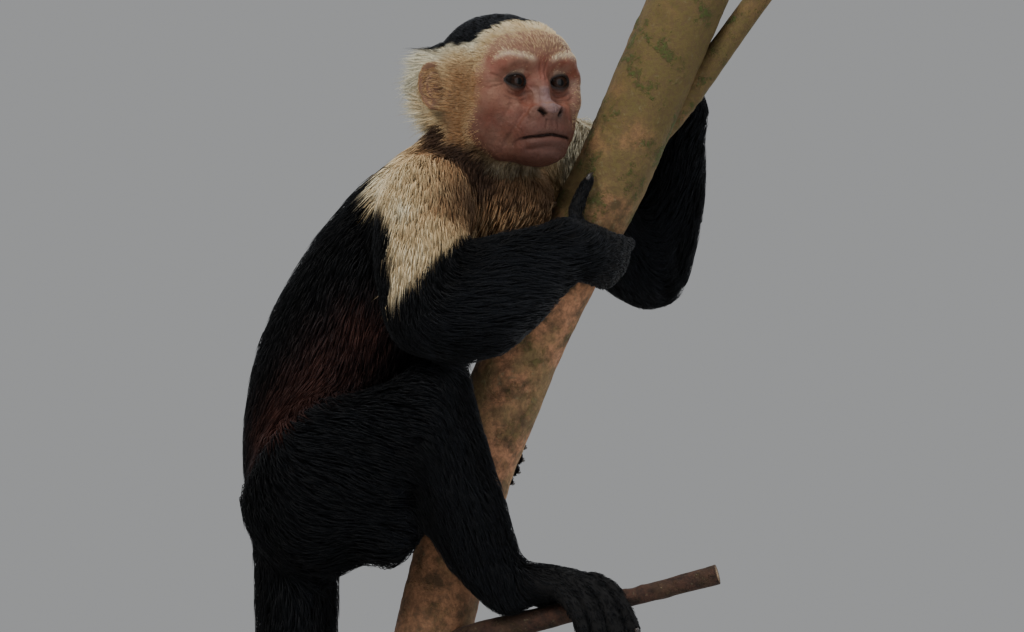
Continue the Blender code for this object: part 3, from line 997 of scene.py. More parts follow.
@dataclass
class Skin:
    """One closed skin for the whole animal, inside the solids by the depth of the coat."""

    voxel: float = 2.1
    swell: float = 0.55
    lids: Eyelids = Eyelids()
    head_forms: tuple[tuple[Row, Row], ...] = (
        ((-9, 0, 14), (42, 37, 35.3)),
        ((13, 0, 22.5), (26, 33.5, 22.5)),
        ((12, 0, 4), (21.5, 35, 34)),
        ((30, 0, -22), (17.5, 24.5, 15)),
        ((33, 0, -2), (8.5, 7, 16)),
        ((41, 0, -12), (9, 8.5, 7)),
        ((28, 0, -33), (19.4, 21, 12)),
        ((3, 0, -28), (27, 25, 18)),
        ((25, 18, 18), (12, 14, 9)),
        ((20, 27, 7), (12.4, 11, 14.4)),
        ((19, 25, -4), (15, 13, 16)),
        ((22, 17, -15), (16, 12, 17)),
        ((14, 16, -29), (20, 14, 15.5)),
        ((5, 25, -16), (25, 14, 24)),
        ((-28, 27, 5), (20, 15, 25)),
        ((41, 7.2, -13), (6.3, 6, 5.8)),
    )
    ear_seat: Triple = (-13, 38, 4)
    ear_size: Triple = (11.9, 3.4, 16.8)
    ear_flare: float = 30
    ear_lean: float = 12
    sink_steps: int = 6
    obj: Object = field(init=False)

    def ear_frame(self, side: Side) -> tuple[Array, Array]:
        """Places an ear.

        Args:
            side: Which ear.

        Returns:
            Its middle, and its own axes as rows: forward, outward and up. Both are in the head's axes.
        """
        seat = Matrix.Translation(Vector(self.ear_seat) * Vector((1, side.sign, 1)))
        flare = Matrix.Rotation(math.radians(-self.ear_flare * side.sign), 4, "Z")
        lean = Matrix.Rotation(math.radians(-self.ear_lean), 4, "Y")
        place = seat @ flare @ lean @ Matrix.Translation((-4, side.sign * 1.5, 1))
        axes = np.array(place.to_3x3()).T
        axes[1] *= side.sign
        return np.array(place.to_translation()), axes

    def forms(self) -> list[tuple[Array, Array]]:
        """Gathers all that the skin wraps.

        Returns:
            The points and triangles of each closed shape.
        """
        shapes = []
        for name in FLESH:
            if name == "head" or name.startswith("ear"):
                continue
            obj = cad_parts[name]
            spots, corners = points_of(obj), triangles_of(obj)
            shapes.append((spots + normals_of(spots, corners) * self.swell, corners))
        ball = bmesh.new()
        bmesh.ops.create_icosphere(ball, subdivisions=4, radius=1)
        sphere = np.array([vert.co[:] for vert in ball.verts])
        corners = np.array([[vert.index for vert in face.verts] for face in ball.faces])
        ball.free()
        balls = []
        for centre, radii in self.head_forms:
            for sign in (-1, 1) if centre[1] else (1,):
                balls.append(HEAD.outward((centre * np.array((1, sign, 1))) + sphere * radii))
        for side in Side:
            middle, axes = self.ear_frame(side)
            balls.append(HEAD.outward(middle + (sphere * self.ear_size) @ axes))
            balls.append(HEAD.outward(self.lids.centre(side) + sphere * self.lids.lid))
            for joint, radius in ((POSE.elbow, 23), (POSE.knee, 24)):
                balls.append(np.array(joint[side]) + sphere * radius * (0.95 if side is Side.LEFT else 1))
        return shapes + [(spots, corners) for spots in balls]

    def remesh(self) -> Object:
        """Melts the heap of shapes together.

        Returns:
            One object with an even mesh.
        """
        lump = add_mesh("lump", *heap(self.forms()))
        melt = lump.modifiers.new("melt", "REMESH")
        melt.mode = "VOXEL"
        melt.voxel_size = self.voxel * MM
        graph = bpy.context.evaluated_depsgraph_get()
        data = bpy.data.meshes.new_from_object(lump.evaluated_get(graph))
        bpy.data.objects.remove(lump)
        data.name = "skin"
        return put("skin", data)

    def face_share(self, local: Array) -> Array:
        """Tells the bare face from the fur.

        Args:
            local: Points in the head's axes.

        Returns:
            1 on the bare face and 0 where the fur of the head starts.
        """
        heights = (-45, -42, -34, -26, -17, -5, 17, 27, 34, 37, 42)
        start = np.interp(local[:, 2], heights, (24, 21, 13, 10, 15, 23, 23, 22, 26, 31, 37))
        ragged = noise(local, 7, 11) * 2.5 + noise(local, 3, 12) * 1.5
        return ease(local[:, 0] - start + ragged, -9, 5) * (1 - 0.85 * self.fringe(local))

    def fringe(self, local: Array) -> Array:
        """1 along the far temple, where white hairs stand out beyond the face."""
        side = ease(local[:, 1], 24, 30) * ease(local[:, 0], -6, 2) * ease(local[:, 0], 24, 16)
        return side * ease(local[:, 2], -22, -8) * ease(local[:, 2], 36, 26)

    def thin_share(self, local: Array) -> Array:
        """1 on the temples and cheeks, where the fur between face and ear is very short."""
        side = ease(abs(local[:, 1]), 20, 28) * ease(local[:, 0], -26, -10)
        return side * ease(local[:, 2], -34, -18) * ease(local[:, 2], 36, 20)

    def depths(self, on: Surface) -> Array:
        """Works out how deep the skin lies.

        Args:
            on: The points of the solids' melted surface.

        Returns:
            How far the skin lies inside the solids at each point.
        """
        depth = hair_table("depth")[on.labels]
        local = on.local
        bare = self.face_share(local)
        thin = self.thin_share(local)
        furred = depth * (1 - thin) + 1.6 * thin
        depth = np.where(on.kind("head"), furred * (1 - bare) + 0.15 * bare, depth)
        near_tip = ease(np.linalg.norm(on.points - self.tail_tip(), axis=1), 90, 10)
        return np.where(on.kind("tail"), depth - 2.5 * near_tip, depth)

    def tail_tip(self) -> Array:
        """The tail's end, after its turn round the branch."""
        return BRANCH.tail_place(1)

    def refine(self, chosen: Array) -> None:
        """Splits the edges whose two ends are both chosen, and the faces between them.

        Args:
            chosen: Which of the skin's points are chosen.
        """
        mesh = bmesh.new()
        mesh.from_mesh(self.obj.data)
        edges = [e for e in mesh.edges if chosen[e.verts[0].index] and chosen[e.verts[1].index]]
        bmesh.ops.subdivide_edges(mesh, edges=edges, cuts=1, use_grid_fill=True)
        mesh.to_mesh(self.obj.data)
        mesh.free()
        self.obj.data.update()

    def even_out(self, amount: float, rounds: int) -> Array:
        """Relaxes the whole mesh.

        Args:
            amount: The share by which each point moves towards its neighbours' mean.
            rounds: How many times.

        Returns:
            The points.
        """
        points = Weave(self.obj).relax(points_of(self.obj), amount, rounds)
        move_points(self.obj, points)
        return points

    def build(self, solids: Solids) -> None:
        """Makes the skin's mesh: melted, sunk by the coat's depth, and refined.

        Args:
            solids: The flesh solids that it lies in.
        """
        self.obj = self.remesh()
        weave = Weave(self.obj)
        melted = solids.surface(self.obj)
        fine = melted.kind("hand", "foot", "ear")
        face = melted.kind("head") & (melted.local[:, 0] > 8)
        soft = weave.relax(np.where(fine, 0.10, np.where(face, 0.16, 0.55)), 0.5, 8)
        points = weave.relax(melted.points, soft, 12)
        move_points(self.obj, points)
        on = Surface(points, triangles_of(self.obj), melted.labels)
        step = weave.relax(self.depths(on), 0.5, 14) / self.sink_steps
        for _ in range(self.sink_steps):
            on.points = weave.relax(on.points - on.normals * step[:, None], 0.25 * soft, 2)
        move_points(self.obj, on.points)
        log.info("skin wrapped: %d points", len(on.points))
        on.labels = solids.labels(on.points)
        self.refine((on.kind("head") & (on.local[:, 0] > 8)) | on.kind("ear") | self.near_digits(on.points))
        self.refine(self.on_face(self.even_out(0.2, 4)))
        self.refine(self.on_features(self.even_out(0.3, 3)))
        mesh = bmesh.new()
        mesh.from_mesh(self.obj.data)
        bmesh.ops.triangulate(mesh, faces=mesh.faces)
        mesh.to_mesh(self.obj.data)
        mesh.free()
        self.obj.data.polygons.foreach_set("use_smooth", np.full(len(self.obj.data.polygons), True))

    def near_digits(self, points: Array) -> Array:
        """Finds the fingers and toes.

        Args:
            points: Rows of x, y, z.

        Returns:
            Which of the points are on a finger or a toe.
        """
        near = np.zeros(len(points), bool)
        for digit in sum(DIGITS.values(), []):
            for spot in digit.rows[2::3]:
                near |= ((points - spot[:3]) ** 2).sum(1) < (spot[3] + 2.5) ** 2
        return near

    def on_face(self, points: Array) -> Array:
        """Which points are on the front of the face."""
        forward, left, up = HEAD.inward(points).T
        return (forward > 8) & (abs(left) < 33) & (up > -46) & (up < 42)

    def on_features(self, points: Array) -> Array:
        """Finds the parts of the face with fine detail.

        Args:
            points: Rows of x, y, z.

        Returns:
            Which of the points are near an eye, the nose or the mouth.
        """
        local = HEAD.inward(points)
        near = ((local - (44, 0, -10)) ** 2).sum(1) < 15**2
        near |= (abs(local[:, 2] + 25 + 0.012 * local[:, 1] ** 2) < 5) & (local[:, 0] > 34)
        for side in Side:
            near |= ((local - self.lids.centre(side)) ** 2).sum(1) < 13.5**2
        return near


def distance_to(points: Array, path: Array) -> tuple[Array, Array]:
    """How far points are from a path.

    Args:
        points: Rows of coordinates.
        path: The path's corners, in order.

    Returns:
        The distance of each point, and how far along the path the nearest place is, from 0 to 1.
    """
    best = np.full(len(points), np.inf)
    along = np.zeros(len(points))
    spans = len(path) - 1
    for i, (start, end) in enumerate(zip(path, path[1:])):
        span = end - start
        share = np.clip((points - start) @ span / max(span @ span, 1e-9), 0, 1)
        distance = np.linalg.norm(points - start - share[:, None] * span, axis=1)
        closer = distance < best
        best = np.where(closer, distance, best)
        along = np.where(closer, (i + share) / spans, along)
    return best, along


@dataclass
class Carver:
    """Works the skin's details in: lids, nose, mouth, folds, ears, knuckles and clefts."""

    skin: Skin
    on: Surface
    tints: dict[str, Array] = field(default_factory=dict)

    def carve(self) -> None:
        """Fills in the tints, painted shade among them, and moves the skin's points."""
        local = self.on.local
        forward, left, up = local.T
        on_head = self.on.kind("head")
        for tint in ("dark", "brown", "lilac", "pale", "red", "lip"):
            self.tints[tint] = np.zeros(len(local))
        forehead = ease(up, 17, 27)
        temple = ease(abs(left), 24, 31) * ease(forward, 24, 12) * ease(up, -22, -8)
        self.tints["tan"] = np.maximum(forehead, temple)
        # brown deepening down the lower face: painted shade where muzzle and chin face down, partly their
        # darker skin
        under = 0.68 * ease(up, -7, -17) + 0.2 * ease(up, -24, -35)
        under += 0.12 * ease(up, -36, -42)
        self.tints["brown"] = under * on_head
        far_cheek = ease(left, 18, 26) * ease(up, -24, -14) * ease(up, 12, 2)
        self.tints["pale"] = 0.4 * far_cheek * ease(forward, 40, 32) * on_head
        for work in (self.ears, self.digits, self.strokes, self.lids, self.grain):
            work()
        move_points(self.skin.obj, self.on.points)

    def raise_tint(self, tint: str, where: Array, amount: Array) -> None:
        """Brings a tint up to that amount at the numbered points."""
        held = self.tints[tint]
        held[where] = np.maximum(held[where], amount)

    def strokes(self) -> None:
        """Presses every stroke of the face into the skin."""
        face = np.nonzero(self.on.local[:, 0] > 12)[0]
        local = HEAD.inward(self.on.points[face])
        tree = KDTree(len(face))
        for i, spot in enumerate(local):
            tree.insert(spot, i)
        tree.balance()
        outward = self.on.normals[face] @ HEAD.turn.T
        moved = np.zeros_like(local)
        for stroke in FACE_STROKES:
            signs = (-1, 1) if any(spot[1] for spot in stroke.path) else (1,)
            for sign in signs:
                path = smooth_path([(x, y * sign, z) for x, y, z in stroke.path], 8 * len(stroke.path))
                path = np.array([tree.find(spot)[0][:] for spot in path])
                path = np.array([path[max(i - 2, 0) : i + 3].mean(0) for i in range(len(path))])
                margin = 3.2 * stroke.width * max(stroke.spread, 1)
                inside = (local > path.min(0) - margin) & (local < path.max(0) + margin)
                this_side = local[:, 1] * sign >= -0.001 - margin * (len(signs) == 1)
                near = np.nonzero(inside.all(1) & this_side)[0]
                distance, along = distance_to(local[near], path)
                start_free = stroke.path[0][1] != 0 or len(signs) == 1
                from_end = np.where(start_free, np.minimum(along, 1 - along), 1 - along)
                taper = np.minimum(1, 0.25 + 4 * from_end)
                press = hump(distance, stroke.width) * taper * stroke.height
                moved[near] += outward[near] * press[:, None]
                if stroke.tint:
                    touch = hump(distance, 1.3 * stroke.width * stroke.spread) * taper * stroke.amount
                    self.raise_tint(stroke.tint, face[near], touch)
        self.on.points[face] = HEAD.outward(local + moved)

    def lids(self) -> None:
        """Opens the eyes: the lids lie on the ball, and the skin behind the opening is sunk into it."""
        lids = self.skin.lids
        for side in Side:
            local = self.on.local - lids.centre(side)
            local[:, 1] *= side.sign
            reach = np.linalg.norm(local, axis=1)
            near = np.nonzero((reach < 17) & (local[:, 0] > 0))[0]
            spot = local[near]
            reach = reach[near]
            inside = lids.opening(spot[:, 1], spot[:, 2])
            onto = ease(inside, -7.5, -2.0)
            puff = 0.35 * hump(inside + 2.2, 1.3) * np.where(spot[:, 2] > 0, 1.2, 0.8)
            rim = lids.lid + puff - 0.12 * ease(inside, -1.0, 0.0)
            sunk = rim + (lids.behind - rim) * ease(inside, -0.05, 0.55)
            target = np.where(inside > 0.55, lids.behind, sunk)
            spot = spot * ((reach + (target - reach) * onto) / reach)[:, None]
            spot[:, 1] *= side.sign
            self.on.points[near] = HEAD.outward(spot + lids.centre(side))
            rim_tint = 0.9 * hump(inside + 0.4, 1.6) + (inside > -0.2)
            corner = hump(abs(spot[:, 1]) - lids.half_width - 0.8, 1.9) * hump(inside, 1.8)
            self.raise_tint("dark", near, np.clip(rim_tint + corner, 0, 1))
            shade = hump(inside + 2.6, 2.0) * np.where(local[near, 2] > 0, 0.05, 0.45)
            self.raise_tint("brown", near, shade)

    def ears(self) -> None:
        """Hollows each ear's outer face, leaving a rolled rim and a ridge inside it, and paints shade into
        the hollow and the canal.
        """
        outward = self.on.normals @ HEAD.turn.T
        for side in Side:
            middle, axes = self.skin.ear_frame(side)
            near = np.nonzero(self.on.node(f"ear_{side.value}"))[0]
            spot = (HEAD.inward(self.on.points[near]) - middle) @ axes.T
            facing = (outward[near] @ axes.T)[:, 1]
            across, up = spot[:, 0] / self.skin.ear_size[0], spot[:, 2] / self.skin.ear_size[2]
            ring = np.hypot(across, up)
            front = ease(facing, 0.05, 0.5)
            hollow = 3.3 * ease(ring, 0.84, 0.52) * (0.65 + 0.35 * ease(across, -0.5, 0.4))
            ridge = 1.3 * hump(np.hypot(across - 0.12, up + 0.05) - 0.5, 0.12) * ease(across, 0.35, -0.1)
            canal = 1.6 * bell(np.stack([across - 0.3, up + 0.25], 1), (0.28, 0.24))
            rim = 0.5 * hump(ring - 0.95, 0.12)
            spot[:, 1] += front * (rim + ridge - hollow - canal)
            self.on.points[near] = HEAD.outward(middle + spot @ axes)
            # browner deeper in the hollow and darker in the canal: painted shade; the base of 0.4 is the
            # ear's own brown
            tint = 0.4 + front * (0.45 * ease(ring, 0.7, 0.35) + canal * 0.3)
            self.tints["brown"][near] = np.clip(tint, 0, 1)
            self.tints["dark"][near] = np.clip(front * canal * 0.4, 0, 0.7)

    def digits(self) -> None:
        """Cuts the clefts between fingers and toes, and swells their knuckles."""
        outward = self.on.normals
        for node, digits in DIGITS.items():
            near = np.nonzero(self.on.node(node))[0]
            found = [distance_to(self.on.points[near], digit.rows[:, :3]) for digit in digits]
            distances, along = np.array(found).transpose(1, 0, 2)
            nearest, second = np.sort(distances, axis=0)[:2]
            share = along[distances.argmin(0), np.arange(len(near))]
            on_digit = ease(nearest, 8.5, 6.0) * ease(share, 0.10, 0.35)
            cleft = hump(second - nearest, 1.5) * on_digit
            joints = sum(hump(share - place, 0.07) for place in (0.32, 0.62, 0.9))
            lift = 0.35 * joints * on_digit - 0.45 * on_digit - 2.3 * cleft
            self.on.points[near] += outward[near] * lift[:, None]

    def grain(self) -> None:
        """Adds small uneven swellings to the face."""
        local = self.on.local
        bare = self.skin.face_share(local) * self.on.kind("head")
        small = noise(local, 2.2, 21) * 0.12 + noise(local, 5.5, 22) * 0.22 + noise(local, 1.1, 23) * 0.05
        eyes = sum(bell(local - self.skin.lids.centre(side), (12, 10, 8)) for side in Side)
        self.on.points += self.on.normals * (small * bare * np.clip(1 - eyes, 0, 1))[:, None]


# ---------------- markings and the lie of the coat
@dataclass
class Markings:
    """What coat and skin share at each point of the skin: colours, painted shade and light among them,
    lengths and the lie of the hair.
    """

    skin: Skin
    on: Surface
    values: dict[str, Array] = field(default_factory=dict)
    shared: tuple[str, ...] = ("cream", "ochre", "band", "warm")

    def read(self, tints: dict[str, Array]) -> None:
        """Works every value out from where the points are.

        Args:
            tints: The tints that the carving left on the skin.
        """
        on, local = self.on, self.on.local
        weave = Weave(self.skin.obj)
        bare = self.skin.face_share(local) * on.kind("head")
        bare = weave.relax(np.maximum(bare, 0.85 * on.kind("ear")), 0.5, 3)
        self.values = {
            "bare": bare,
            "cream": weave.relax(self.cream(), 0.5, 2),
            "ochre": self.ochre(),
            "band": self.band(),
            "warm": self.warm(),
            "normal": on.normals,
            **tints,
        }
        for key in ("depth", "length", "width", "crowd"):
            self.values[key] = weave.relax(hair_table(key)[on.labels], 0.5, 12)
        self.shorten_face(bare)
        tanned = (0.9 - 0.35 * ease(local[:, 2], 14, 30)) * bare * (1 - self.values["pale"])
        self.values["ochre"] = np.maximum(self.values["ochre"], tanned)
        self.values["flow"] = self.flow(weave)
        for key in ("bare", *self.shared, *tints):
            give(self.skin.obj, key, self.values[key])

    def cream(self) -> Array:
        """Tells the two colours of the coat apart.

        Returns:
            1 where the coat is cream and 0 where it is black.
        """
        on, local = self.on, self.on.local
        forward, left, up = local.T
        x, y, z = on.points.T
        ragged = noise(on.points, 9, 31) * 3 + noise(on.points, 4, 32) * 2
        back = np.interp(z, (420, 500, 519, 540, 565), (18, 16, 8, -10, -25))
        back += 26 * hump(y + 4, 9)
        mantle = ease(x - back + ragged, -3, 3)
        hem = np.interp(x, (0, 16, 30, 42, 60, 78, 114), (446, 448, 466, 482, 496, 498, 490))
        mantle *= ease(z - hem + ragged, -3, 3)
        beyond = np.where(y > 10, ease(z + ragged, 468, 486) * ease(x, 20, 45), 1)
        mantle = mantle * np.where(on.kind("upper_arm"), 1, beyond)
        reaches = (-60, -38, -28, -13, -5, 2, 12, 17, 20, 23, 26)
        edge = np.interp(forward, reaches, (10, 20, 33, 31.5, 30, 28, 27, 23, 14, 5, 0))
        uneven = noise(local, 6, 33) * 2.5 + noise(local, 3, 34) * 1.5
        cap = ease(edge - abs(left) + uneven, -2.5, 2.5)
        cap *= ease(forward, 27, 23) * ease(up + 0.9 * forward, -60, -44)
        cap *= ease(up - 0.35 * forward, 8, 16)
        shoulder, elbow = (np.array(place[Side.LEFT]) for place in (POSE.shoulder, POSE.elbow))
        share = (on.points - shoulder) @ (elbow - shoulder) / ((elbow - shoulder) ** 2).sum()
        out = np.where(on.kind("head", "ear"), 1 - cap, mantle)
        out = np.where(on.node("upper_arm_L"), ease(share + ragged * 0.012, 0.45, 0.30), out)
        return np.where(on.kind("forearm", "hand", "thigh", "shank", "foot", "tail"), 0, out)

    def ochre(self) -> Array:
        """Works out how brown the cream coat is, browned by painted shade under the head and whitened by
        painted light on the far side.

        Returns:
            0 where it is white to 1 where it is orange brown.
        """
        on, local = self.on, self.on.local
        forward, left, up = local.T
        flat = on.points[:, [0, 2]]
        # the small bell by the neck at (50, 540) lies in the crease under the head: partly painted shade,
        # partly browner fur
        body = 0.50 + 0.6 * bell(flat - (60, 518), (24, 28)) + 0.5 * bell(flat - (50, 540), (13, 13))
        # the bell at (98, 512) is painted shade on the breast under the chin, over its orange-brown tint
        body += 0.6 * bell(flat - (98, 512), (26, 22)) - 0.12 * bell(flat - (16, 520), (18, 34))
        # whiter on the far side: painted light for the sunlit far shoulder, partly its paler fur
        body -= 0.6 * ease(on.points[:, 1], 12, 26)
        side = ease(abs(left), 14, 26)
        head = 0.10 + 1.05 * side * bell(local[:, [0, 2]] - (6, -2), (22, 24))
        head += 0.5 * side * bell(local[:, [0, 2]] - (-6, -26), (18, 13)) + 0.25 * ease(forward, 10, 24)
        # browner under the jaw: painted shade where the head faces down, partly browner fur
        head += 0.35 * ease(up, -24, -36)
        ears = on.kind("ear")
        value = np.where(on.kind("head") | ears, np.maximum(head, ears), body)
        return np.clip(value + noise(on.points, 13, 43) * 0.14 + noise(on.points, 5, 44) * 0.08, 0, 1)

    def band(self) -> Array:
        """Finds where dark brown is laid on the coat as painted shade: in the crease between ruff and
        shoulder, under the jaw and on the breast under the chin, partly over fur that is itself darker
        brown.

        Returns:
            1 where it is darkest.
        """
        on, local = self.on, self.on.local
        up = local[:, 2]
        path = np.array(((45, 551), (51, 541), (59, 532), (69, 525), (84, 519), (102, 514)), float)
        flat = on.points[:, [0, 2]]
        distance, along = distance_to(flat, path)
        # painted shade on the breast under the chin and below the neck
        breast = 0.6 * bell(flat - (104, 506), (25, 18)) + 0.75 * bell(flat - (54, 515), (17, 17))
        value = hump(distance, 10 + 5 * along) * (1 - 0.3 * ease(along, 0.4, 0.9))
        value = np.maximum(value, breast) * ease(on.points[:, 1], 12, 0)
        # painted shade under the jaw, where the head faces down
        jaw = 0.6 * ease(up, -34, -42) + 0.24 * bell(local[:, [0, 2]] - (8, -4), (20, 22))
        on_head = np.maximum(value * ease(up, -24, -34), jaw)
        uneven = 0.85 + 0.15 * noise(on.points, 6, 45)
        return np.where(on.kind("head", "ear"), on_head, value) * uneven

    def warm(self) -> Array:
        """Finds the flank, where thin fur lets the reddish skin through.

        Returns:
            1 where it is reddest.
        """
        line = np.array(((-2, -44, 438), (-54, -36, 378)))
        distance, _ = distance_to(self.on.points, line)
        return hump(distance, 19) * self.on.kind("trunk") * (0.75 + 0.25 * noise(self.on.points, 8, 41))

    def shorten_face(self, bare: Array) -> None:
        """Leaves only short thin hairs on the face, and none on the nose, lips and lids.

        Args:
            bare: How bare each point is.
        """
        values, local, head = self.values, self.on.local, self.on.kind("head")
        forward, left, up = local.T
        thin = self.skin.thin_share(local)
        behind = ease(forward, -12, -20) * ease(abs(left), 16, 26) * ease(up, -30, -12)
        behind *= ease(up, 31, 24)
        over = ease(forward, 6, -2) * ease(forward, -20, -12) * ease(abs(left), 24, 30)
        over *= ease(up, -24, -14) * ease(up, 32, 22)
        stand = np.maximum(0.9 * behind, 0.5 * over)
        values["stand"] = np.maximum(stand, 0.5 * self.skin.fringe(local)) * head
        throat = ease(up, -26, -38)
        clear = bell(local - np.array((46, 0, -16)), (16, 18, 16))
        for side in Side:
            clear = np.maximum(clear, 1.3 * bell(local - self.skin.lids.centre(side), (14, 11, 7.5)))
        open_skin = np.clip(1 - clear * 1.5, 0, 1)
        brow = values["pale"] * open_skin
        top = ease(up, 14, 36)
        outer = ease(forward, 24, 12)
        fuzz = 300 * open_skin * (0.5 * top + 0.5 * outer) + 170 * brow
        short = 1.8 + 3.4 * top**2 + 1.8 * outer + 0.8 * brow
        for key, furred, temple, face in (
            ("crowd", 210.0, 260.0, fuzz),
            ("length", 10.0 + 19 * behind + 3 * throat, 4.4 + 8 * over, short),
            ("depth", 4.2 + 5.0 * behind, 1.6, 0.4 + 0.3 * outer),
            ("width", 0.46 + 0.08 * behind, 0.28, 0.20 + 0.05 * outer),
        ):
            coat = furred * (1 - thin) + temple * thin
            values[key] = np.where(head, coat * (1 - bare) + face * bare, values[key])

    def flow(self, weave: Weave) -> Array:
        """Lays the coat.

        Args:
            weave: The edges of the skin.

        Returns:
            The direction in which the hair lies at each point, along the skin.
        """
        on, points, normals = self.on, self.on.points, self.on.normals
        out = np.zeros_like(points)
        down = np.array((0.0, 0.0, -1.0))
        spine = np.array((POSE.nape, POSE.ribs, POSE.loin, POSE.rump))
        _, share = distance_to(points, spine)
        steps = unit(np.diff(spine, axis=0))
        place = np.clip(share * len(steps) - 0.5, 0, len(steps) - 1.001)
        low = place.astype(int)
        along = unit(steps[low] + (steps[np.minimum(low + 1, 2)] - steps[low]) * (place - low)[:, None])
        for kind, start, end, lean in (
            ("upper_arm", POSE.shoulder, POSE.elbow, 0.35),
            ("forearm", POSE.elbow, POSE.wrist, 0.3),
            ("thigh", POSE.hip, POSE.knee, 0.75),
            ("shank", POSE.knee, POSE.ankle, 0.0),
        ):
            for side in Side:
                here = on.node(f"{kind}_{side.value}")
                out[here] = unit(np.subtract(end[side], start[side])) + lean * down
                if kind == "thigh":
                    out[here] += 1.6 * ease(points[here, 0], -40, -66)[:, None] * down
        for node, digits in DIGITS.items():
            here = on.node(node)
            total = np.zeros((here.sum(), 3))
            for digit in digits:
                for start, end in zip(digit.rows[:-4:4, :3], digit.rows[4::4, :3]):
                    weight = 1 / (((points[here] - (start + end) / 2) ** 2).sum(1) + 4) ** 2
                    total += weight[:, None] * unit(end - start)
            out[here] = unit(total)
        tail = on.kind("tail")
        path = self.tail_path()
        _, share = distance_to(points[tail], path)
        place = np.clip((share * (len(path) - 1)).astype(int), 0, len(path) - 2)
        out[tail] = unit(np.diff(path, axis=0))[place]
        head = on.kind("head", "ear")
        away = unit(on.local - np.array((46, 0, -4))) + np.array((-0.55, 0, -0.12))
        out[head] = unit(away @ HEAD.turn)[head]
        neck = on.kind("neck")
        out[neck] = unit(along[neck] + 0.5 * unit(points[neck] - HEAD.origin) + 0.3 * down)
        trunk = on.kind("trunk")
        out[trunk] = unit(along[trunk] + 0.25 * down)
        out += noise_vector(points, 26, 51) * 0.22 + noise_vector(points, 11, 55) * 0.16
        for _ in range(4):
            out = unit(out - normals * (out * normals).sum(1)[:, None])
            out = weave.relax(out, 0.5, 5)
        return unit(out - normals * (out * normals).sum(1)[:, None])

    def tail_path(self) -> Array:
        """The tail's centre line, from the rump to the tip, as in the solids."""
        turn = [tuple(BRANCH.tail_place(step / 9)) for step in range(10)]
        return smooth_path([*POSE.tail, *turn], 60)


# ---------------- the coat
class Locks(Enum):
    """The coat's parts: a name, the nodes covered, a slot, and how many pieces it is dealt into."""

    HEAD = ("coat_head", ("head", "ear_R", "ear_L"), "pale_coat", 2)
    MANTLE = ("coat_mantle", ("neck", "upper_arm_R", "upper_arm_L"), "pale_coat", 2)
    BACK = ("coat_trunk", ("trunk",), "dark_coat", 2)
    ARMS = ("coat_forearms", ("forearm_R", "forearm_L"), "dark_coat", 1)
    LEG_R = ("coat_leg_R", ("thigh_R", "shank_R"), "dark_coat", 1)
    LEG_L = ("coat_leg_L", ("thigh_L", "shank_L"), "dark_coat", 1)
    TAIL = ("coat_tail", ("tail_1", "tail_2", "tail_3", "tail_4"), "dark_coat", 1)
    HANDS = ("coat_hands", ("hand_R", "hand_L"), "dark_coat", 1)
    FEET = ("coat_feet", ("foot_R", "foot_L"), "dark_coat", 1)


@dataclass
class Roots:
    """Where tufts grow: the skin's triangles, the shares of their corners, and the places."""

    faces: Array
    shares: Array
    places: Array

    def some(self, which: Array | slice) -> "Roots":
        """Some of them."""
        return Roots(self.faces[which], self.shares[which], self.places[which])


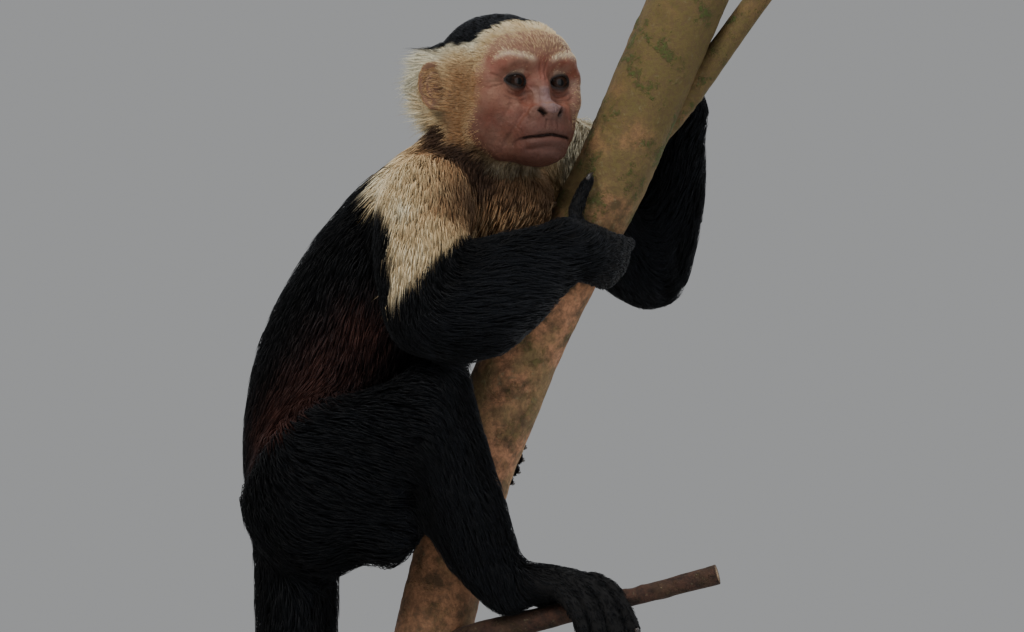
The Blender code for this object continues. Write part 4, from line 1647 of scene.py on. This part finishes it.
@dataclass
class Coat:
    """Solid tufts over the whole skin, which follow it and lie along its flow.

    A tuft has three sides and as many rings as its profile has numbers, which are shares of its width.
    """

    markings: Markings
    thin: float = 1.0
    most_triangles: int = 196000
    profile: Row = (1.0, 0.75)
    clump: float = 7.0
    patch: float = 0.003
    atlas: int = 5

    def __post_init__(self) -> None:
        """Reads the skin once for all the pieces."""
        self.on = self.markings.on
        self.tree = BVHTree.FromPolygons(self.on.points.tolist(), self.on.triangles.tolist())
        a, b, c = (self.on.points[self.on.triangles[:, k]] for k in range(3))
        self.areas = np.linalg.norm(np.cross(b - a, c - a), axis=1) / 2

    def at(self, key: str, faces: Array, shares: Array | None = None) -> Array:
        """Reads a marking at places on the skin.

        Args:
            key: The marking's name.
            faces: The triangles that the places are on.
            shares: The shares of their corners, or none for their middles.

        Returns:
            A number or a row for each place.
        """
        values = self.markings.values[key][self.on.triangles[faces]]
        if shares is None:
            return values.mean(1)
        return (values * (shares if values.ndim == 2 else shares[:, :, None])).sum(1)

    def scatter(self, piece: Locks, rng: Draws) -> Roots:
        """Picks where the tufts grow.

        Args:
            piece: Which part of the coat.
            rng: The draws.

        Returns:
            The roots.
        """
        labels = self.on.labels[self.on.triangles[:, 0]]
        mine = np.isin(labels, [FLESH.index(name) for name in piece.value[1]])
        weight = np.where(mine, self.areas * self.at("crowd", np.arange(len(self.areas))) / 100, 0)
        count = int(weight.sum() * self.thin)
        faces = rng.choice(len(weight), count, p=weight / weight.sum())
        shares = rng.dirichlet((1, 1, 1), count)
        places = (self.on.points[self.on.triangles[faces]] * shares[:, :, None]).sum(1)
        return Roots(faces, shares, places)

    def walk(self, places: Array, flow: Array, step: Array) -> tuple[Array, Array, Array]:
        """Goes on along the skin.

        Args:
            places: Where to start from, on the skin.
            flow: Directions.
            step: Lengths.

        Returns:
            The places reached on the skin, and their triangles and smooth normals.
        """
        ahead = places + flow * step[:, None]
        hits = [self.tree.find_nearest(spot) for spot in ahead.tolist()]
        reached = np.array([hit[0][:] for hit in hits])
        faces = np.array([hit[2] for hit in hits])
        return reached, faces, unit(self.at("normal", faces))

    def lines(self, roots: Roots, rng: Draws) -> tuple[Array, Array]:
        """Lays each tuft's centre line along the skin.

        Args:
            roots: Where the tufts grow.
            rng: The draws.

        Returns:
            The lines' points and the directions out of the skin there, each of tufts by points by three.
        """
        faces, shares, places = roots.faces, roots.shares, roots.places
        count, steps = len(places), len(self.profile)
        depth = self.at("depth", faces, shares)
        length = self.at("length", faces, shares) * rng.uniform(0.65, 1.25, count)
        normal = unit(self.at("normal", faces, shares))
        flow = self.at("flow", faces, shares)
        side = np.cross(normal, flow)
        flow = unit(flow + side * (rng.normal(0, 0.16, count) + noise(places, 6, 61) * 0.22)[:, None])
        level = rng.uniform(0.25, 1.0, count) ** 0.8
        centres = [places - normal * 0.5]
        normals = [normal]
        here = places
        for i in range(1, steps + 1):
            here, under, out = self.walk(here, flow, length / steps)
            flow = unit(flow * 0.55 + self.at("flow", under) * 0.45)
            flow = unit(flow - out * (flow * out).sum(1)[:, None])
            local_depth = np.minimum(depth * 1.1, self.at("depth", under) * 1.15 + 0.2)
            height = local_depth * level * math.sin(min(i / steps * 1.25, 1) * math.pi / 2) + 0.12
            centres.append(here + out * height[:, None])
            normals.append(out)
        centres = np.stack(centres, 1)
        away = unit(self.at("flow", faces, shares) + 0.55 * normal)
        reach = np.linspace(0, 1, steps + 1)[None, :, None] * length[:, None, None]
        stand = (self.at("stand", faces, shares) * rng.uniform(0.4, 1.2, count))[:, None, None]
        centres += np.clip(stand, 0, 1) * (places[:, None] + away[:, None] * reach - centres)
        return self.gather(centres, places, rng), np.stack(normals, 1)

    def gather(self, centres: Array, places: Array, rng: Draws) -> Array:
        """Draws the tips of neighbouring tufts together into locks.

        Args:
            centres: The tufts' lines.
            places: Where the tufts grow.
            rng: The draws.

        Returns:
            The lines, drawn together.
        """
        shifted = places + noise_vector(places, 9, 71) * 2.5
        _, clumps = np.unique(np.floor(shifted / self.clump), axis=0, return_inverse=True)
        clumps = clumps.ravel()
        sizes = np.bincount(clumps)
        steps = centres.shape[1] - 1
        pull = rng.uniform(0.15, 0.6, len(sizes))[clumps]
        out = centres.copy()
        columns = centres.reshape(len(centres), -1).T
        means = np.stack([np.bincount(clumps, column) / sizes for column in columns], 1)[clumps]
        means = means.reshape(centres.shape)
        for i in range(1, steps + 1):
            target = means[:, i] + (centres[:, 0] - means[:, 0]) * 0.4
            out[:, i] += (target - centres[:, i]) * (pull * (i / steps) ** 1.3)[:, None]
        return out

    def chart(self, roots: Roots) -> Array:
        """Unwraps the skin: round and along each part, in a cell of its own.

        Args:
            roots: Places on the skin.

        Returns:
            Where each lies on the unwrap.
        """
        labels = self.on.labels[self.on.triangles[roots.faces, 0]]
        spots = np.zeros((len(labels), 2))
        for number in np.unique(labels):
            here = labels == number
            solid = points_of(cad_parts[FLESH[number]])
            middle = solid.mean(0)
            _, _, axes = np.linalg.svd(solid - middle, full_matrices=False)
            along, first, second = ((roots.places[here] - middle) @ axis for axis in axes)
            reach = (solid - middle) @ axes[0]
            round_it = np.arctan2(second, first) / (2 * math.pi) + 0.5
            length = np.clip((along - reach.min()) / np.ptp(reach), 0, 1)
            cell = np.array(divmod(int(number), self.atlas))
            spots[here] = (cell + 0.06 + 0.88 * np.stack([round_it, length], 1)) / self.atlas
        return spots

    def mesh(self, name: str, centres: Array, normals: Array, width: Array, spots: Array) -> Object:
        """Makes closed tapering tufts as one object, which is marked with the way to their tips.

        Args:
            name: The piece's name.
            centres: Tufts by points by three.
            normals: The directions out of the skin there.
            width: Each tuft's width at its widest.
            spots: Each tuft's place on the unwrap.

        Returns:
            The object.
        """
        count, rings = len(centres), len(self.profile)
        along = unit(np.gradient(centres, axis=1))
        side = unit(np.cross(along, normals))
        rise = np.cross(side, along)
        half = width[:, None] * np.array(self.profile) / 2
        body, across = centres[:, :rings], side[:, :rings] * half[:, :, None]
        lift = rise[:, :rings] * (half * 0.75)[:, :, None]
        corners = np.stack([body - across - 0.4 * lift, body + across - 0.4 * lift, body + lift], 2)
        points = np.concatenate([corners.reshape(count, rings * 3, 3), centres[:, -1:]], 1)
        faces = [(0, 2, 1)]
        for ring in range(rings - 1):
            for k in range(3):
                a, b = ring * 3 + k, ring * 3 + (k + 1) % 3
                faces += [(a, b, b + 3), (a, b + 3, a + 3)]
        last = (rings - 1) * 3
        faces += [(last + k, last + (k + 1) % 3, rings * 3) for k in range(3)]
        per = rings * 3 + 1
        all_faces = (np.arange(count)[:, None, None] * per + np.array(faces)).reshape(-1, 3)
        obj = add_mesh(name, points.reshape(-1, 3), all_faces)
        share = np.append(np.repeat(np.arange(rings) / rings, 3), 1.0)
        place = np.append(np.tile((-0.5, 0.5, 0.0), rings), 0.0)
        local = np.stack([place * (1 - 0.6 * share), share - 0.5 + 0.04 * (place == 0)], 1) * self.patch
        uv = (spots[:, None, :] + local).reshape(-1, 2)[all_faces.ravel()]
        layer = obj.data.uv_layers.new(name="OFBake")
        layer.data.foreach_set("uv", uv.astype(np.float32).ravel())
        give(obj, "tip", np.tile(share, count))
        return obj

    def build(self, piece: Locks, seed: int, finish: Material) -> None:
        """Grows one part of the coat, dealt out into as many pieces as it asks for.

        Args:
            piece: Which part of the coat.
            seed: Where its draws start.
            finish: The fur's material.
        """
        name, _, slot, pieces = piece.value
        rng = np.random.default_rng(seed)
        roots = self.scatter(piece, rng)
        tuft_triangles = 6 * len(self.profile) - 2
        roots = roots.some(slice(pieces * self.most_triangles // tuft_triangles))
        centres, normals = self.lines(roots, rng)
        buried = ((centres[:, 0] - BRANCH.clear(centres[:, 0], 0.4)) ** 2).sum(1) > 0.01
        centres[:, 1:] = BRANCH.clear(centres[:, 1:].reshape(-1, 3), 0.7).reshape(centres[:, 1:].shape)
        keep = np.nonzero(~buried)[0]
        width = self.at("width", roots.faces, roots.shares) * rng.uniform(0.7, 1.25, len(centres))
        spots = self.chart(roots)
        for number in range(pieces):
            mine = keep[number::pieces]
            label = f"{name}_{number + 1}" if pieces > 1 else name
            obj = self.mesh(label, centres[mine], normals[mine], width[mine], spots[mine])
            per = len(self.profile) * 3 + 1
            some = roots.some(mine)
            for key in self.markings.shared:
                give(obj, key, np.repeat(self.at(key, some.faces, some.shares), per))
            give(obj, "tone", np.repeat(rng.uniform(0, 1, len(mine)), per))
            dress(obj, finish, slot)
            log.info("%s: %d tufts, %d triangles", label, len(mine), len(obj.data.polygons))


# ---------------- finishes
@dataclass(frozen=True)
class CoatFinish:
    """The tufts' colours: black tinted blue as a painted sheen, with lighter tips, and white to orange
    brown that is darker at the root, with umber as painted shade under the head.
    """

    # the blue in the black and in its tips is painted sheen
    black: Triple = (0.0027, 0.0030, 0.0036)
    black_tip: Triple = (0.0060, 0.0072, 0.0092)
    rust: Triple = (0.070, 0.025, 0.018)
    white: Triple = (0.84, 0.80, 0.63)
    cream: Triple = (0.68, 0.54, 0.32)
    ochre: Triple = (0.36, 0.20, 0.095)
    # umber is laid as painted shade under the head and on the breast
    umber: Triple = (0.058, 0.033, 0.021)
    roughness: float = 0.55

    def make(self, name: str) -> Material:
        """Mixes the black and the cream coat from the marks on the tufts.

        Args:
            name: The material's name.

        Returns:
            The material.
        """
        tree = Finish(name)
        tip, tone = tree.mark("tip"), tree.mark("tone")
        patches = tree.grain(22, 2).fit(0.35, 0.68)
        brown = tree.mark("ochre") + (tone - 0.5) * 0.3 + (patches - 0.5) * 0.12 - tip * 0.1
        light = tree.layers(
            self.white,
            (brown.fit(0.0, 0.45), self.cream),
            (brown.fit(0.4, 1.0), self.ochre),
            (tip.fit(0.45, 0.0) * 0.4, self.ochre),
            # umber band: painted shade under the head, partly darker brown fur
            (tree.mark("band").fit(0.15, 0.7), self.umber),
        )
        colour = tree.layers(
            self.black,
            # lighter tips vary by tone; their blue is painted sheen
            ((tip * tone).fit(0.2, 0.95), self.black_tip),
            (tree.mark("warm") * 0.8, self.rust),
            (tree.mark("cream").fit(0.25, 0.75), light),
        )
        rough = self.roughness + tone * 0.14 - tip * 0.05
        tree.set(Base_Color=colour, Roughness=rough, Sheen_Weight=0.03, Sheen_Roughness=0.4)
        tree.set(Sheen_Tint=(0.72, 0.80, 1.0), Specular_IOR_Level=0.12)
        return tree.material


@dataclass(frozen=True)
class SkinFinish:
    """The bare face and ears, and the fur-coloured skin under the coat."""

    pink: Triple = (0.155, 0.070, 0.049)
    rosy: Triple = (0.160, 0.046, 0.028)
    tan: Triple = (0.190, 0.108, 0.070)
    brown: Triple = (0.055, 0.022, 0.015)
    dark: Triple = (0.007, 0.004, 0.0035)
    lilac: Triple = (0.155, 0.108, 0.114)
    pale: Triple = (0.45, 0.36, 0.27)
    lip: Triple = (0.095, 0.036, 0.029)
    under_white: Triple = (0.52, 0.42, 0.28)
    under_ochre: Triple = (0.22, 0.12, 0.06)
    # umber under the band: painted shade under the head
    umber: Triple = (0.046, 0.025, 0.016)
    under_black: Triple = (0.0042, 0.0041, 0.0045)
    rust: Triple = (0.085, 0.032, 0.022)

    def make(self) -> Material:
        """Mixes the face's tints over its mottling, painted shade among them, and the coat's colours under
        the fur.

        Returns:
            The material.
        """
        tree = Finish("skin_of_the_capuchin")
        mottle = tree.grain(9, 4)
        fine = tree.grain(2.2, 4)
        face = tree.layers(
            self.pink,
            (mottle.fit(0.38, 0.66), self.rosy),
            (tree.grain(16).fit(0.46, 0.68) * 0.6, self.tan),
            # tan: forehead and temples, and painted light on the upper lids
            (tree.mark("tan") * 0.8, self.tan),
            # pale: brows and far cheek, and painted light on the upper lids
            (tree.mark("pale") * 0.7, self.pale),
            (tree.mark("red") * 0.75, self.rosy),
            (tree.mark("lip") * (0.6 + fine * 0.5), self.lip),
            (tree.mark("lilac") * (0.5 + fine * 0.8), self.lilac),
            # brown: the face's own brown, and painted shade on the lower face, round the eyes, in creases
            # and in the ear hollows
            (tree.mark("brown") * (0.45 + fine * 0.7), self.brown),
            (tree.grain(1.1, 2).fit(0.56, 0.74) * 0.4, self.brown),
            (tree.grain(4.5, 4).fit(0.52, 0.72) * 0.35, self.brown),
            # dark: the lid rims, and painted shade in the mouth line, the nostrils and the ear canals
            (tree.mark("dark"), self.dark),
        )
        furred = tree.layers(
            self.under_white,
            (tree.mark("ochre"), self.under_ochre),
            # painted shade under the head, partly darker brown fur
            (tree.mark("band").fit(0.2, 0.9), self.umber),
        )
        colour = tree.layers(
            self.under_black,
            (tree.mark("cream"), furred),
            (tree.mark("warm") * 0.9, self.rust),
            (tree.mark("bare"), face),
        )
        creases = tree.bump(tree.grain(2.6, 5, 0.65), 0.8, strength=0.75)
        relief = tree.bump(tree.cells(0.9) * 0.5 + tree.grain(0.6) * 0.5, 0.3, creases, 0.65)
        rough = 0.5 + mottle * 0.16 - tree.mark("dark") * 0.14 + (1 - tree.mark("bare")) * 0.34
        tree.set(Base_Color=colour, Roughness=rough, Normal=relief, Specular_IOR_Level=0.26)
        return tree.material


@dataclass(frozen=True)
class EyeFinish:
    """A dark brown iris with a darker rim round a black pupil, under a wet surface."""

    pupil: float = 2.0
    iris: float = 5.3
    hazel: Triple = (0.020, 0.008, 0.0045)
    umber: Triple = (0.006, 0.003, 0.002)
    black: Triple = (0.0015, 0.0015, 0.0015)
    corner: Triple = (0.010, 0.006, 0.005)

    def make(self) -> Material:
        """Colours the ball by how far each place is from the middle of the pupil.

        Returns:
            The material.
        """
        tree = Finish("wet_eye")
        reach = tree.mark("reach")
        rays = tree.mark("ray") * 0.6 + reach.fit(self.iris, self.pupil) * 0.5
        ball = tree.layers(
            self.umber,
            (rays.fit(0.2, 0.8), self.hazel),
            (reach.fit(self.iris * 0.86, self.iris), self.umber),
            (reach.fit(self.iris - 0.1, self.iris + 0.5), self.corner),
        )
        colour = tree.mix(reach.fit(self.pupil - 0.15, self.pupil + 0.25), self.black, ball)
        tree.set(Base_Color=colour, Roughness=0.25, Specular_IOR_Level=0.05)
        tree.set(Coat_Weight=0.22, Coat_Roughness=0.03)
        return tree.material


@dataclass(frozen=True)
class BarkFinish:
    """Thin mottled bark, pinkish brown and ochre with green and grey lichen, and pale sawn wood."""

    umber: Triple = (0.085, 0.050, 0.028)
    pink: Triple = (0.400, 0.195, 0.105)
    ochre: Triple = (0.240, 0.165, 0.075)
    moss: Triple = (0.058, 0.074, 0.018)
    olive: Triple = (0.088, 0.066, 0.020)
    grey: Triple = (0.200, 0.190, 0.110)
    wood: Triple = (0.560, 0.400, 0.240)
    ring: Triple = (0.330, 0.200, 0.100)
    green: float = 1.0
    scale: float = 1.0
    ring_width: float = 0.9

    def make(self, name: str) -> Material:
        """Mixes bark, lichen and moss, and growth rings at the sawn ends.

        Args:
            name: The material's name.

        Returns:
            The material.
        """
        tree = Finish(name)
        wide, mid = tree.grain(38 * self.scale, 5), tree.grain(11 * self.scale, 6, 0.65)
        fine = tree.grain(2.4, 6, 0.7)
        lichen = (tree.grain(17 * self.scale, 7, 0.7) * 0.8 + fine * 0.2).fit(0.53, 0.60)
        height = tree.node("ShaderNodeSeparateXYZ", {}, {"Vector": tree.place()}).out("Z")
        higher = (height + (wide - 0.5) * 0.25).fit(0.40, 0.58)
        bark = tree.layers(
            self.umber,
            (mid.fit(0.38, 0.56), self.pink),
            (wide.fit(0.46, 0.58) * 0.8, self.ochre),
            (higher * 0.8 * self.green, self.olive),
            ((lichen * (0.4 + higher * 0.6) + higher * 0.15) * self.green, self.moss),
            (tree.grain(5 * self.scale, 6, 0.75).fit(0.60, 0.66) * (0.7 - higher * 0.4), self.grey),
            (fine.fit(0.56, 0.42) * 0.5, self.umber),
            (height.fit(0.34, 0.24) * 0.55 * self.green, self.umber),
        )
        from_pith = tree.mark("ring") + mid * 0.6
        folded = {0: from_pith, 1: self.ring_width}
        rings = tree.node("ShaderNodeMath", {"operation": "PINGPONG"}, folded).out()
        end = tree.mix(rings.fit(0.15, 0.75), self.ring, self.wood)
        relief = mid * 0.45 + fine * 0.4 + lichen * 0.35 + tree.grain(0.8, 4) * 0.25
        tree.set(Base_Color=tree.mix(tree.mark("sawn"), bark, end), Roughness=0.78 + fine * 0.16)
        tree.set(Normal=tree.bump(relief, 1.3), Specular_IOR_Level=0.3)
        return tree.material


@dataclass(frozen=True)
class PlainFinish:
    """An even finish with a fine grain, for nails and painted metal."""

    colour: Triple
    other: Triple
    roughness: float
    grain: float
    relief: float
    metallic: float = 0.0

    def make(self, name: str) -> Material:
        """Mixes the two colours over a fine grain.

        Args:
            name: The material's name.

        Returns:
            The material.
        """
        tree = Finish(name)
        wide, fine = tree.grain(self.grain * 14), tree.grain(self.grain)
        colour = tree.mix(wide.fit(0.35, 0.7), self.colour, self.other)
        tree.set(Base_Color=colour, Roughness=self.roughness + wide * 0.1, Metallic=self.metallic)
        tree.set(Normal=tree.bump(fine, self.relief))
        return tree.material


def dress(obj: Object, material: Material, slot: str, *nodes: str) -> None:
    """Finishes a piece.

    Args:
        obj: The piece.
        material: Its only material.
        slot: Not used.
        nodes: The solids that it stands for.
    """
    obj.data.materials.clear()
    obj.data.materials.append(material)
    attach(obj, "root")
    if nodes:
        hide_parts(*nodes)


# ---------------- eyes and nails
@dataclass
class Eye:
    """One eyeball with a slightly raised cornea, looking ahead."""

    side: Side
    ball: float = 8.45
    cornea: float = 0.45
    turn_in: float = 4.0
    rings: int = 48
    sides: int = 64

    def build(self, finish: Material) -> None:
        """Makes the eyeball and marks its iris.

        Args:
            finish: The eye's material.
        """
        bend = np.linspace(0, math.pi, self.rings)
        radius = self.ball + self.cornea * ease(bend, 0.68, 0.35)
        round_it = np.linspace(0, 2 * math.pi, self.sides, endpoint=False)
        ahead = (radius * np.cos(bend))[1:-1, None] * np.ones(self.sides)
        out = (radius * np.sin(bend))[1:-1, None]
        rows = np.stack([ahead, out * np.cos(round_it), out * np.sin(round_it)], 2).reshape(-1, 3)
        local = np.vstack([rows, [(radius[0], 0, 0), (-radius[-1], 0, 0)]])
        faces = tube_faces(self.rings - 2, self.sides)[:, ::-1]
        turn = np.array(Matrix.Rotation(math.radians(-self.turn_in * self.side.sign), 3, "Z"))
        node = f"eye_{self.side.value}"
        centre = HEAD.inward(middle_of(node))
        obj = add_mesh(f"eyeball_{self.side.value}", HEAD.outward(centre + local @ turn.T), faces)
        reach = np.hypot(local[:, 1], local[:, 2]) + np.where(local[:, 0] < 0, 20, 0)
        angle = np.arctan2(local[:, 2], local[:, 1])
        ray = noise(np.stack([np.cos(angle) * 9, np.sin(angle) * 9, reach * 0.2], 1), 1, 81)
        give(obj, "reach", reach)
        give(obj, "ray", ray * 0.5 + 0.5)
        dress(obj, finish, "eye", node)
        log.info("eyeball %s", self.side.value)


@dataclass
class Nails:
    """The narrow curved nails of one hand or foot."""

    node: str
    length: float = 6.5
    width: float = 1.9

    def build(self, finish: Material) -> None:
        """Makes a nail on the back of each digit's end, as one piece.

        Args:
            finish: The nails' material.
        """
        nails = []
        for digit in DIGITS[self.node]:
            ahead = unit(digit.rows[-1, :3] - digit.rows[-4, :3])
            back = digit.tip - digit.inside
            back = unit(back - ahead * (back @ ahead))
            radius = digit.rows[-1, 3]
            rows = []
            for share in np.linspace(0, 1, 7):
                along = -0.35 * radius + share * self.length
                lift = radius * (0.62 - 0.95 * share**2)
                size = self.width * (0.75 + 0.5 * share - 1.15 * share**2.4)
                rows.append((*(digit.tip + ahead * along + back * lift), max(size, 0.15)))
            rows = np.array(rows)
            rows[:, :3] = BRANCH.clear(rows[:, :3], 1.6)
            nails.append(bar(rows, 10))
        dress(add_mesh(f"nails_{self.node}", *heap(nails)), finish, "dark_coat")
        log.info("nails of %s", self.node)


# ---------------- the perch and the stand
@dataclass
class Limb:
    """One length of barked wood with sawn ends, which stands for a perch node."""

    name: str
    node: str
    rows: Array
    sides: int
    pitch: float
    relief: float
    knots: int = 0
    seed: int = 1

    def build(self, finish: Material) -> None:
        """Makes the bar with its uneven bark and marks its two sawn ends.

        Args:
            finish: The bark's material.
        """
        length = np.linalg.norm(np.diff(self.rows[:, :3], axis=0), axis=1).sum()
        rows = smooth_path(self.rows, int(length / self.pitch))
        count = len(rows)
        angles = np.linspace(0, 2 * math.pi, self.sides, endpoint=False)
        along = np.linspace(0, length, count)
        radius = rows[:, 3:4]
        round_it = (np.cos(angles) * radius, np.sin(angles) * radius, along[:, None] * np.ones(self.sides))
        skin = np.stack(round_it, 2).reshape(-1, 3)
        lumps = noise(skin * (1, 1, 0.5), 16, self.seed) * 0.55 + noise(skin, 6, self.seed + 1) * 0.3
        rough = noise(skin * (1, 1, 1.6), 2.2, self.seed + 2) * 0.15
        relief = (lumps + rough - 0.75).reshape(count, self.sides) * self.relief
        rng = np.random.default_rng(self.seed)
        for _ in range(self.knots):
            turn, place = rng.uniform(0, 2 * math.pi), rng.uniform(0.05, 0.95) * length
            away = np.angle(np.exp(1j * (angles - turn)))[None, :] * radius
            reach = np.hypot(away, (along - place)[:, None])
            relief += 0.55 * hump(reach - 4.2, 1.6) - 0.5 * hump(reach, 2.6)
        obj = add_mesh(self.name, *bar(rows, self.sides, np.minimum(relief, 0.15)))
        total = count * self.sides + 2
        sawn, ring = np.zeros(total), np.zeros(total)
        sawn[-2:] = 1
        ring[: self.sides] = rows[0, 3]
        ring[-2 - self.sides : -2] = rows[-1, 3]
        give(obj, "sawn", sawn)
        give(obj, "ring", ring)
        dress(obj, finish, "bark", self.node)
        log.info("%s", self.name)


@dataclass
class Stand:
    """The painted base with rounded corners, and the rod up to the branch."""

    corner: float = 34.0
    round_over: float = 2.5
    chamfer: float = 0.6
    collar: float = 1.2
    steps: int = 12

    def base(self, finish: Material) -> None:
        """Makes a flat slab with rounded corners and a rounded rim.

        Args:
            finish: The paint.
        """
        low, high = (np.array(corner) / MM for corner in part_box("stand_base"))
        middle, half = (low + high) / 2, (high - low) / 2
        rows = [(low[2], self.chamfer), (low[2] + self.chamfer, 0.0)]
        for angle in np.linspace(0, math.pi / 2, self.steps + 1):
            drop, inset = self.round_over * (1 - np.sin(angle)), self.round_over * (1 - np.cos(angle))
            rows.append((high[2] - drop, inset))
        points = []
        for height, inset in rows:
            for sx, sy, start in ((1, 1, 0), (-1, 1, 90), (-1, -1, 180), (1, -1, 270)):
                for angle in np.radians(np.linspace(start, start + 90, self.steps + 1)):
                    x = middle[0] + sx * (half[0] - self.corner) + (self.corner - inset) * np.cos(angle)
                    y = middle[1] + sy * (half[1] - self.corner) + (self.corner - inset) * np.sin(angle)
                    points.append((x, y, height))
        points += [(*middle[:2], low[2]), (*middle[:2], high[2])]
        obj = add_mesh("base", np.array(points), tube_faces(len(rows), 4 * (self.steps + 1)))
        dress(obj, finish, "stand_paint", "stand_base")
        log.info("base")

    def rod(self, finish: Material) -> None:
        """Makes a straight round rod with a small collar at each end.

        Args:
            finish: The paint.
        """
        low, high = (np.array(corner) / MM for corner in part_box("stand_rod"))
        height = np.linspace(low[2], high[2], 40)
        from_end = np.minimum(height - low[2], high[2] - height)
        radius = (high[0] - low[0]) / 2 - self.collar * ease(from_end, 4.0, 5.0)
        rows = np.stack([0 * height, 0 * height, height, radius], 1)
        dress(add_mesh("rod", *bar(rows, 48)), finish, "stand_paint", "stand_rod")
        log.info("rod")


# ---------------- the studio
@dataclass(frozen=True)
class Lamp:
    """A soft square light that faces a point."""

    name: str
    place: Triple
    power: float
    size: float
    colour: Triple = (1, 1, 1)
    faces: Triple = (0.07, 0, 0.42)

    def build(self) -> None:
        """Adds the light."""
        data = bpy.data.lights.new(self.name, "AREA")
        data.energy = self.power
        data.size = self.size
        data.color = self.colour
        obj = put(self.name, data)
        obj.location = self.place
        obj.rotation_euler = (Vector(self.faces) - Vector(self.place)).to_track_quat("-Z", "Y").to_euler()


@dataclass
class Studio:
    """The camera, the lights, the pale floor and the even light of the room."""

    camera_at: Triple = (0.0852, -3.0, 0.4384)
    lens: float = 175.8
    sensor: float = 36
    floor_radius: float = 2.6
    floor_height: float = -0.0002
    floor_colour: Triple = (0.62, 0.61, 0.59)
    room_colour: Row = (0.62, 0.63, 0.64, 1)
    room_light: float = 0.52
    lamps: tuple[Lamp, ...] = (
        Lamp("key", (-0.9, -1.5, 1.9), power=37, size=0.7, colour=(1.0, 0.95, 0.88)),
        Lamp("fill", (1.6, -1.6, 0.9), power=16, size=1.6, colour=(0.90, 0.94, 1.0)),
        Lamp("rim", (-1.2, 1.5, 1.6), power=9, size=1.0, colour=(0.84, 0.91, 1.0)),
        Lamp("top", (0.3, -0.4, 2.3), power=15, size=0.8, colour=(1.0, 0.98, 0.94)),
        Lamp("back", (1.4, 1.3, 1.2), power=14, size=1.2, colour=(0.95, 0.97, 1.0)),
    )

    def camera(self) -> None:
        """Puts the camera level, looking along +Y."""
        data = bpy.data.cameras.new("camera")
        data.lens = self.lens
        data.sensor_width = self.sensor
        camera = put("camera", data)
        camera.location = self.camera_at
        camera.rotation_euler = (math.pi / 2, 0, 0)
        bpy.context.scene.camera = camera

    def floor(self) -> None:
        """Lays a round floor just under the stand."""
        disc = bmesh.new()
        bmesh.ops.create_circle(disc, cap_ends=True, segments=96, radius=self.floor_radius)
        mesh = bpy.data.meshes.new("floor")
        disc.to_mesh(mesh)
        disc.free()
        floor = put("floor", mesh)
        floor.location = (0, 0, self.floor_height)
        tree = Finish("pale_floor")
        tree.set(Base_Color=self.floor_colour, Roughness=0.75)
        mesh.materials.append(tree.material)

    def room(self) -> None:
        """Lights everything evenly from all round."""
        world = bpy.data.worlds.new("studio")
        world.use_nodes = True
        back = world.node_tree.nodes["Background"]
        back.inputs["Color"].default_value = self.room_colour
        back.inputs["Strength"].default_value = self.room_light
        bpy.context.scene.world = world

    def build(self) -> None:
        """Sets the studio up."""
        self.camera()
        for lamp in self.lamps:
            lamp.build()
        self.floor()
        self.room()
        log.info("studio")


# ---------------- assembly
def build_animal() -> None:
    """Makes the skin, the coat, the eyes and the nails."""
    solids = Solids()
    skin = Skin()
    skin.build(solids)
    carver = Carver(skin, solids.surface(skin.obj))
    carver.carve()
    markings = Markings(skin, solids.surface(skin.obj))
    markings.read(carver.tints)
    dress(skin.obj, SkinFinish().make(), "bare_skin", *FLESH)
    log.info("skin: %d triangles", len(skin.obj.data.polygons))
    coat = Coat(markings, thin=1.0)
    fur = CoatFinish().make("fur")
    for number, piece in enumerate(Locks):
        coat.build(piece, 100 + number, fur)
    wet = EyeFinish().make()
    for side in Side:
        Eye(side).build(wet)
    horn = PlainFinish(
        colour=(0.020, 0.016, 0.015), other=(0.045, 0.034, 0.030), roughness=0.34, grain=0.9, relief=0.05
    ).make("horn")
    for node in DIGITS:
        Nails(node).build(horn)


def build_perch() -> None:
    """Makes the branch, its fork and the side twig."""
    bark = BarkFinish().make("bark")
    darker = BarkFinish(
        umber=(0.022, 0.012, 0.009),
        pink=(0.065, 0.030, 0.020),
        ochre=(0.06, 0.034, 0.02),
        green=0.35,
        scale=0.5,
    )
    branch = Limb("branch", "perch_branch", BRANCH.rows(80), 72, pitch=2.4, relief=1.0, knots=16, seed=5)
    fork = Limb("fork", "perch_fork", np.array(BRANCH.fork), 32, pitch=1.8, relief=0.6, knots=3, seed=6)
    twig = Limb("twig", "perch_twig", np.array(BRANCH.twig), 28, pitch=1.5, relief=0.45, knots=5, seed=7)
    branch.build(bark)
    fork.build(bark)
    twig.build(darker.make("twig_bark"))


def build_stand() -> None:
    """Makes the base and the rod."""
    paint = PlainFinish(
        colour=(0.032, 0.033, 0.036), other=(0.040, 0.041, 0.044), roughness=0.40, grain=0.7, relief=0.03
    ).make("satin_paint")
    stand = Stand()
    stand.base(paint)
    stand.rod(paint)


def main() -> None:
    """Builds the studio, the perch, the stand and the animal."""
    logging.basicConfig(level=logging.INFO, format="%(message)s")
    Studio().build()
    build_perch()
    build_stand()
    build_animal()


if __name__ == "__main__":
    main()
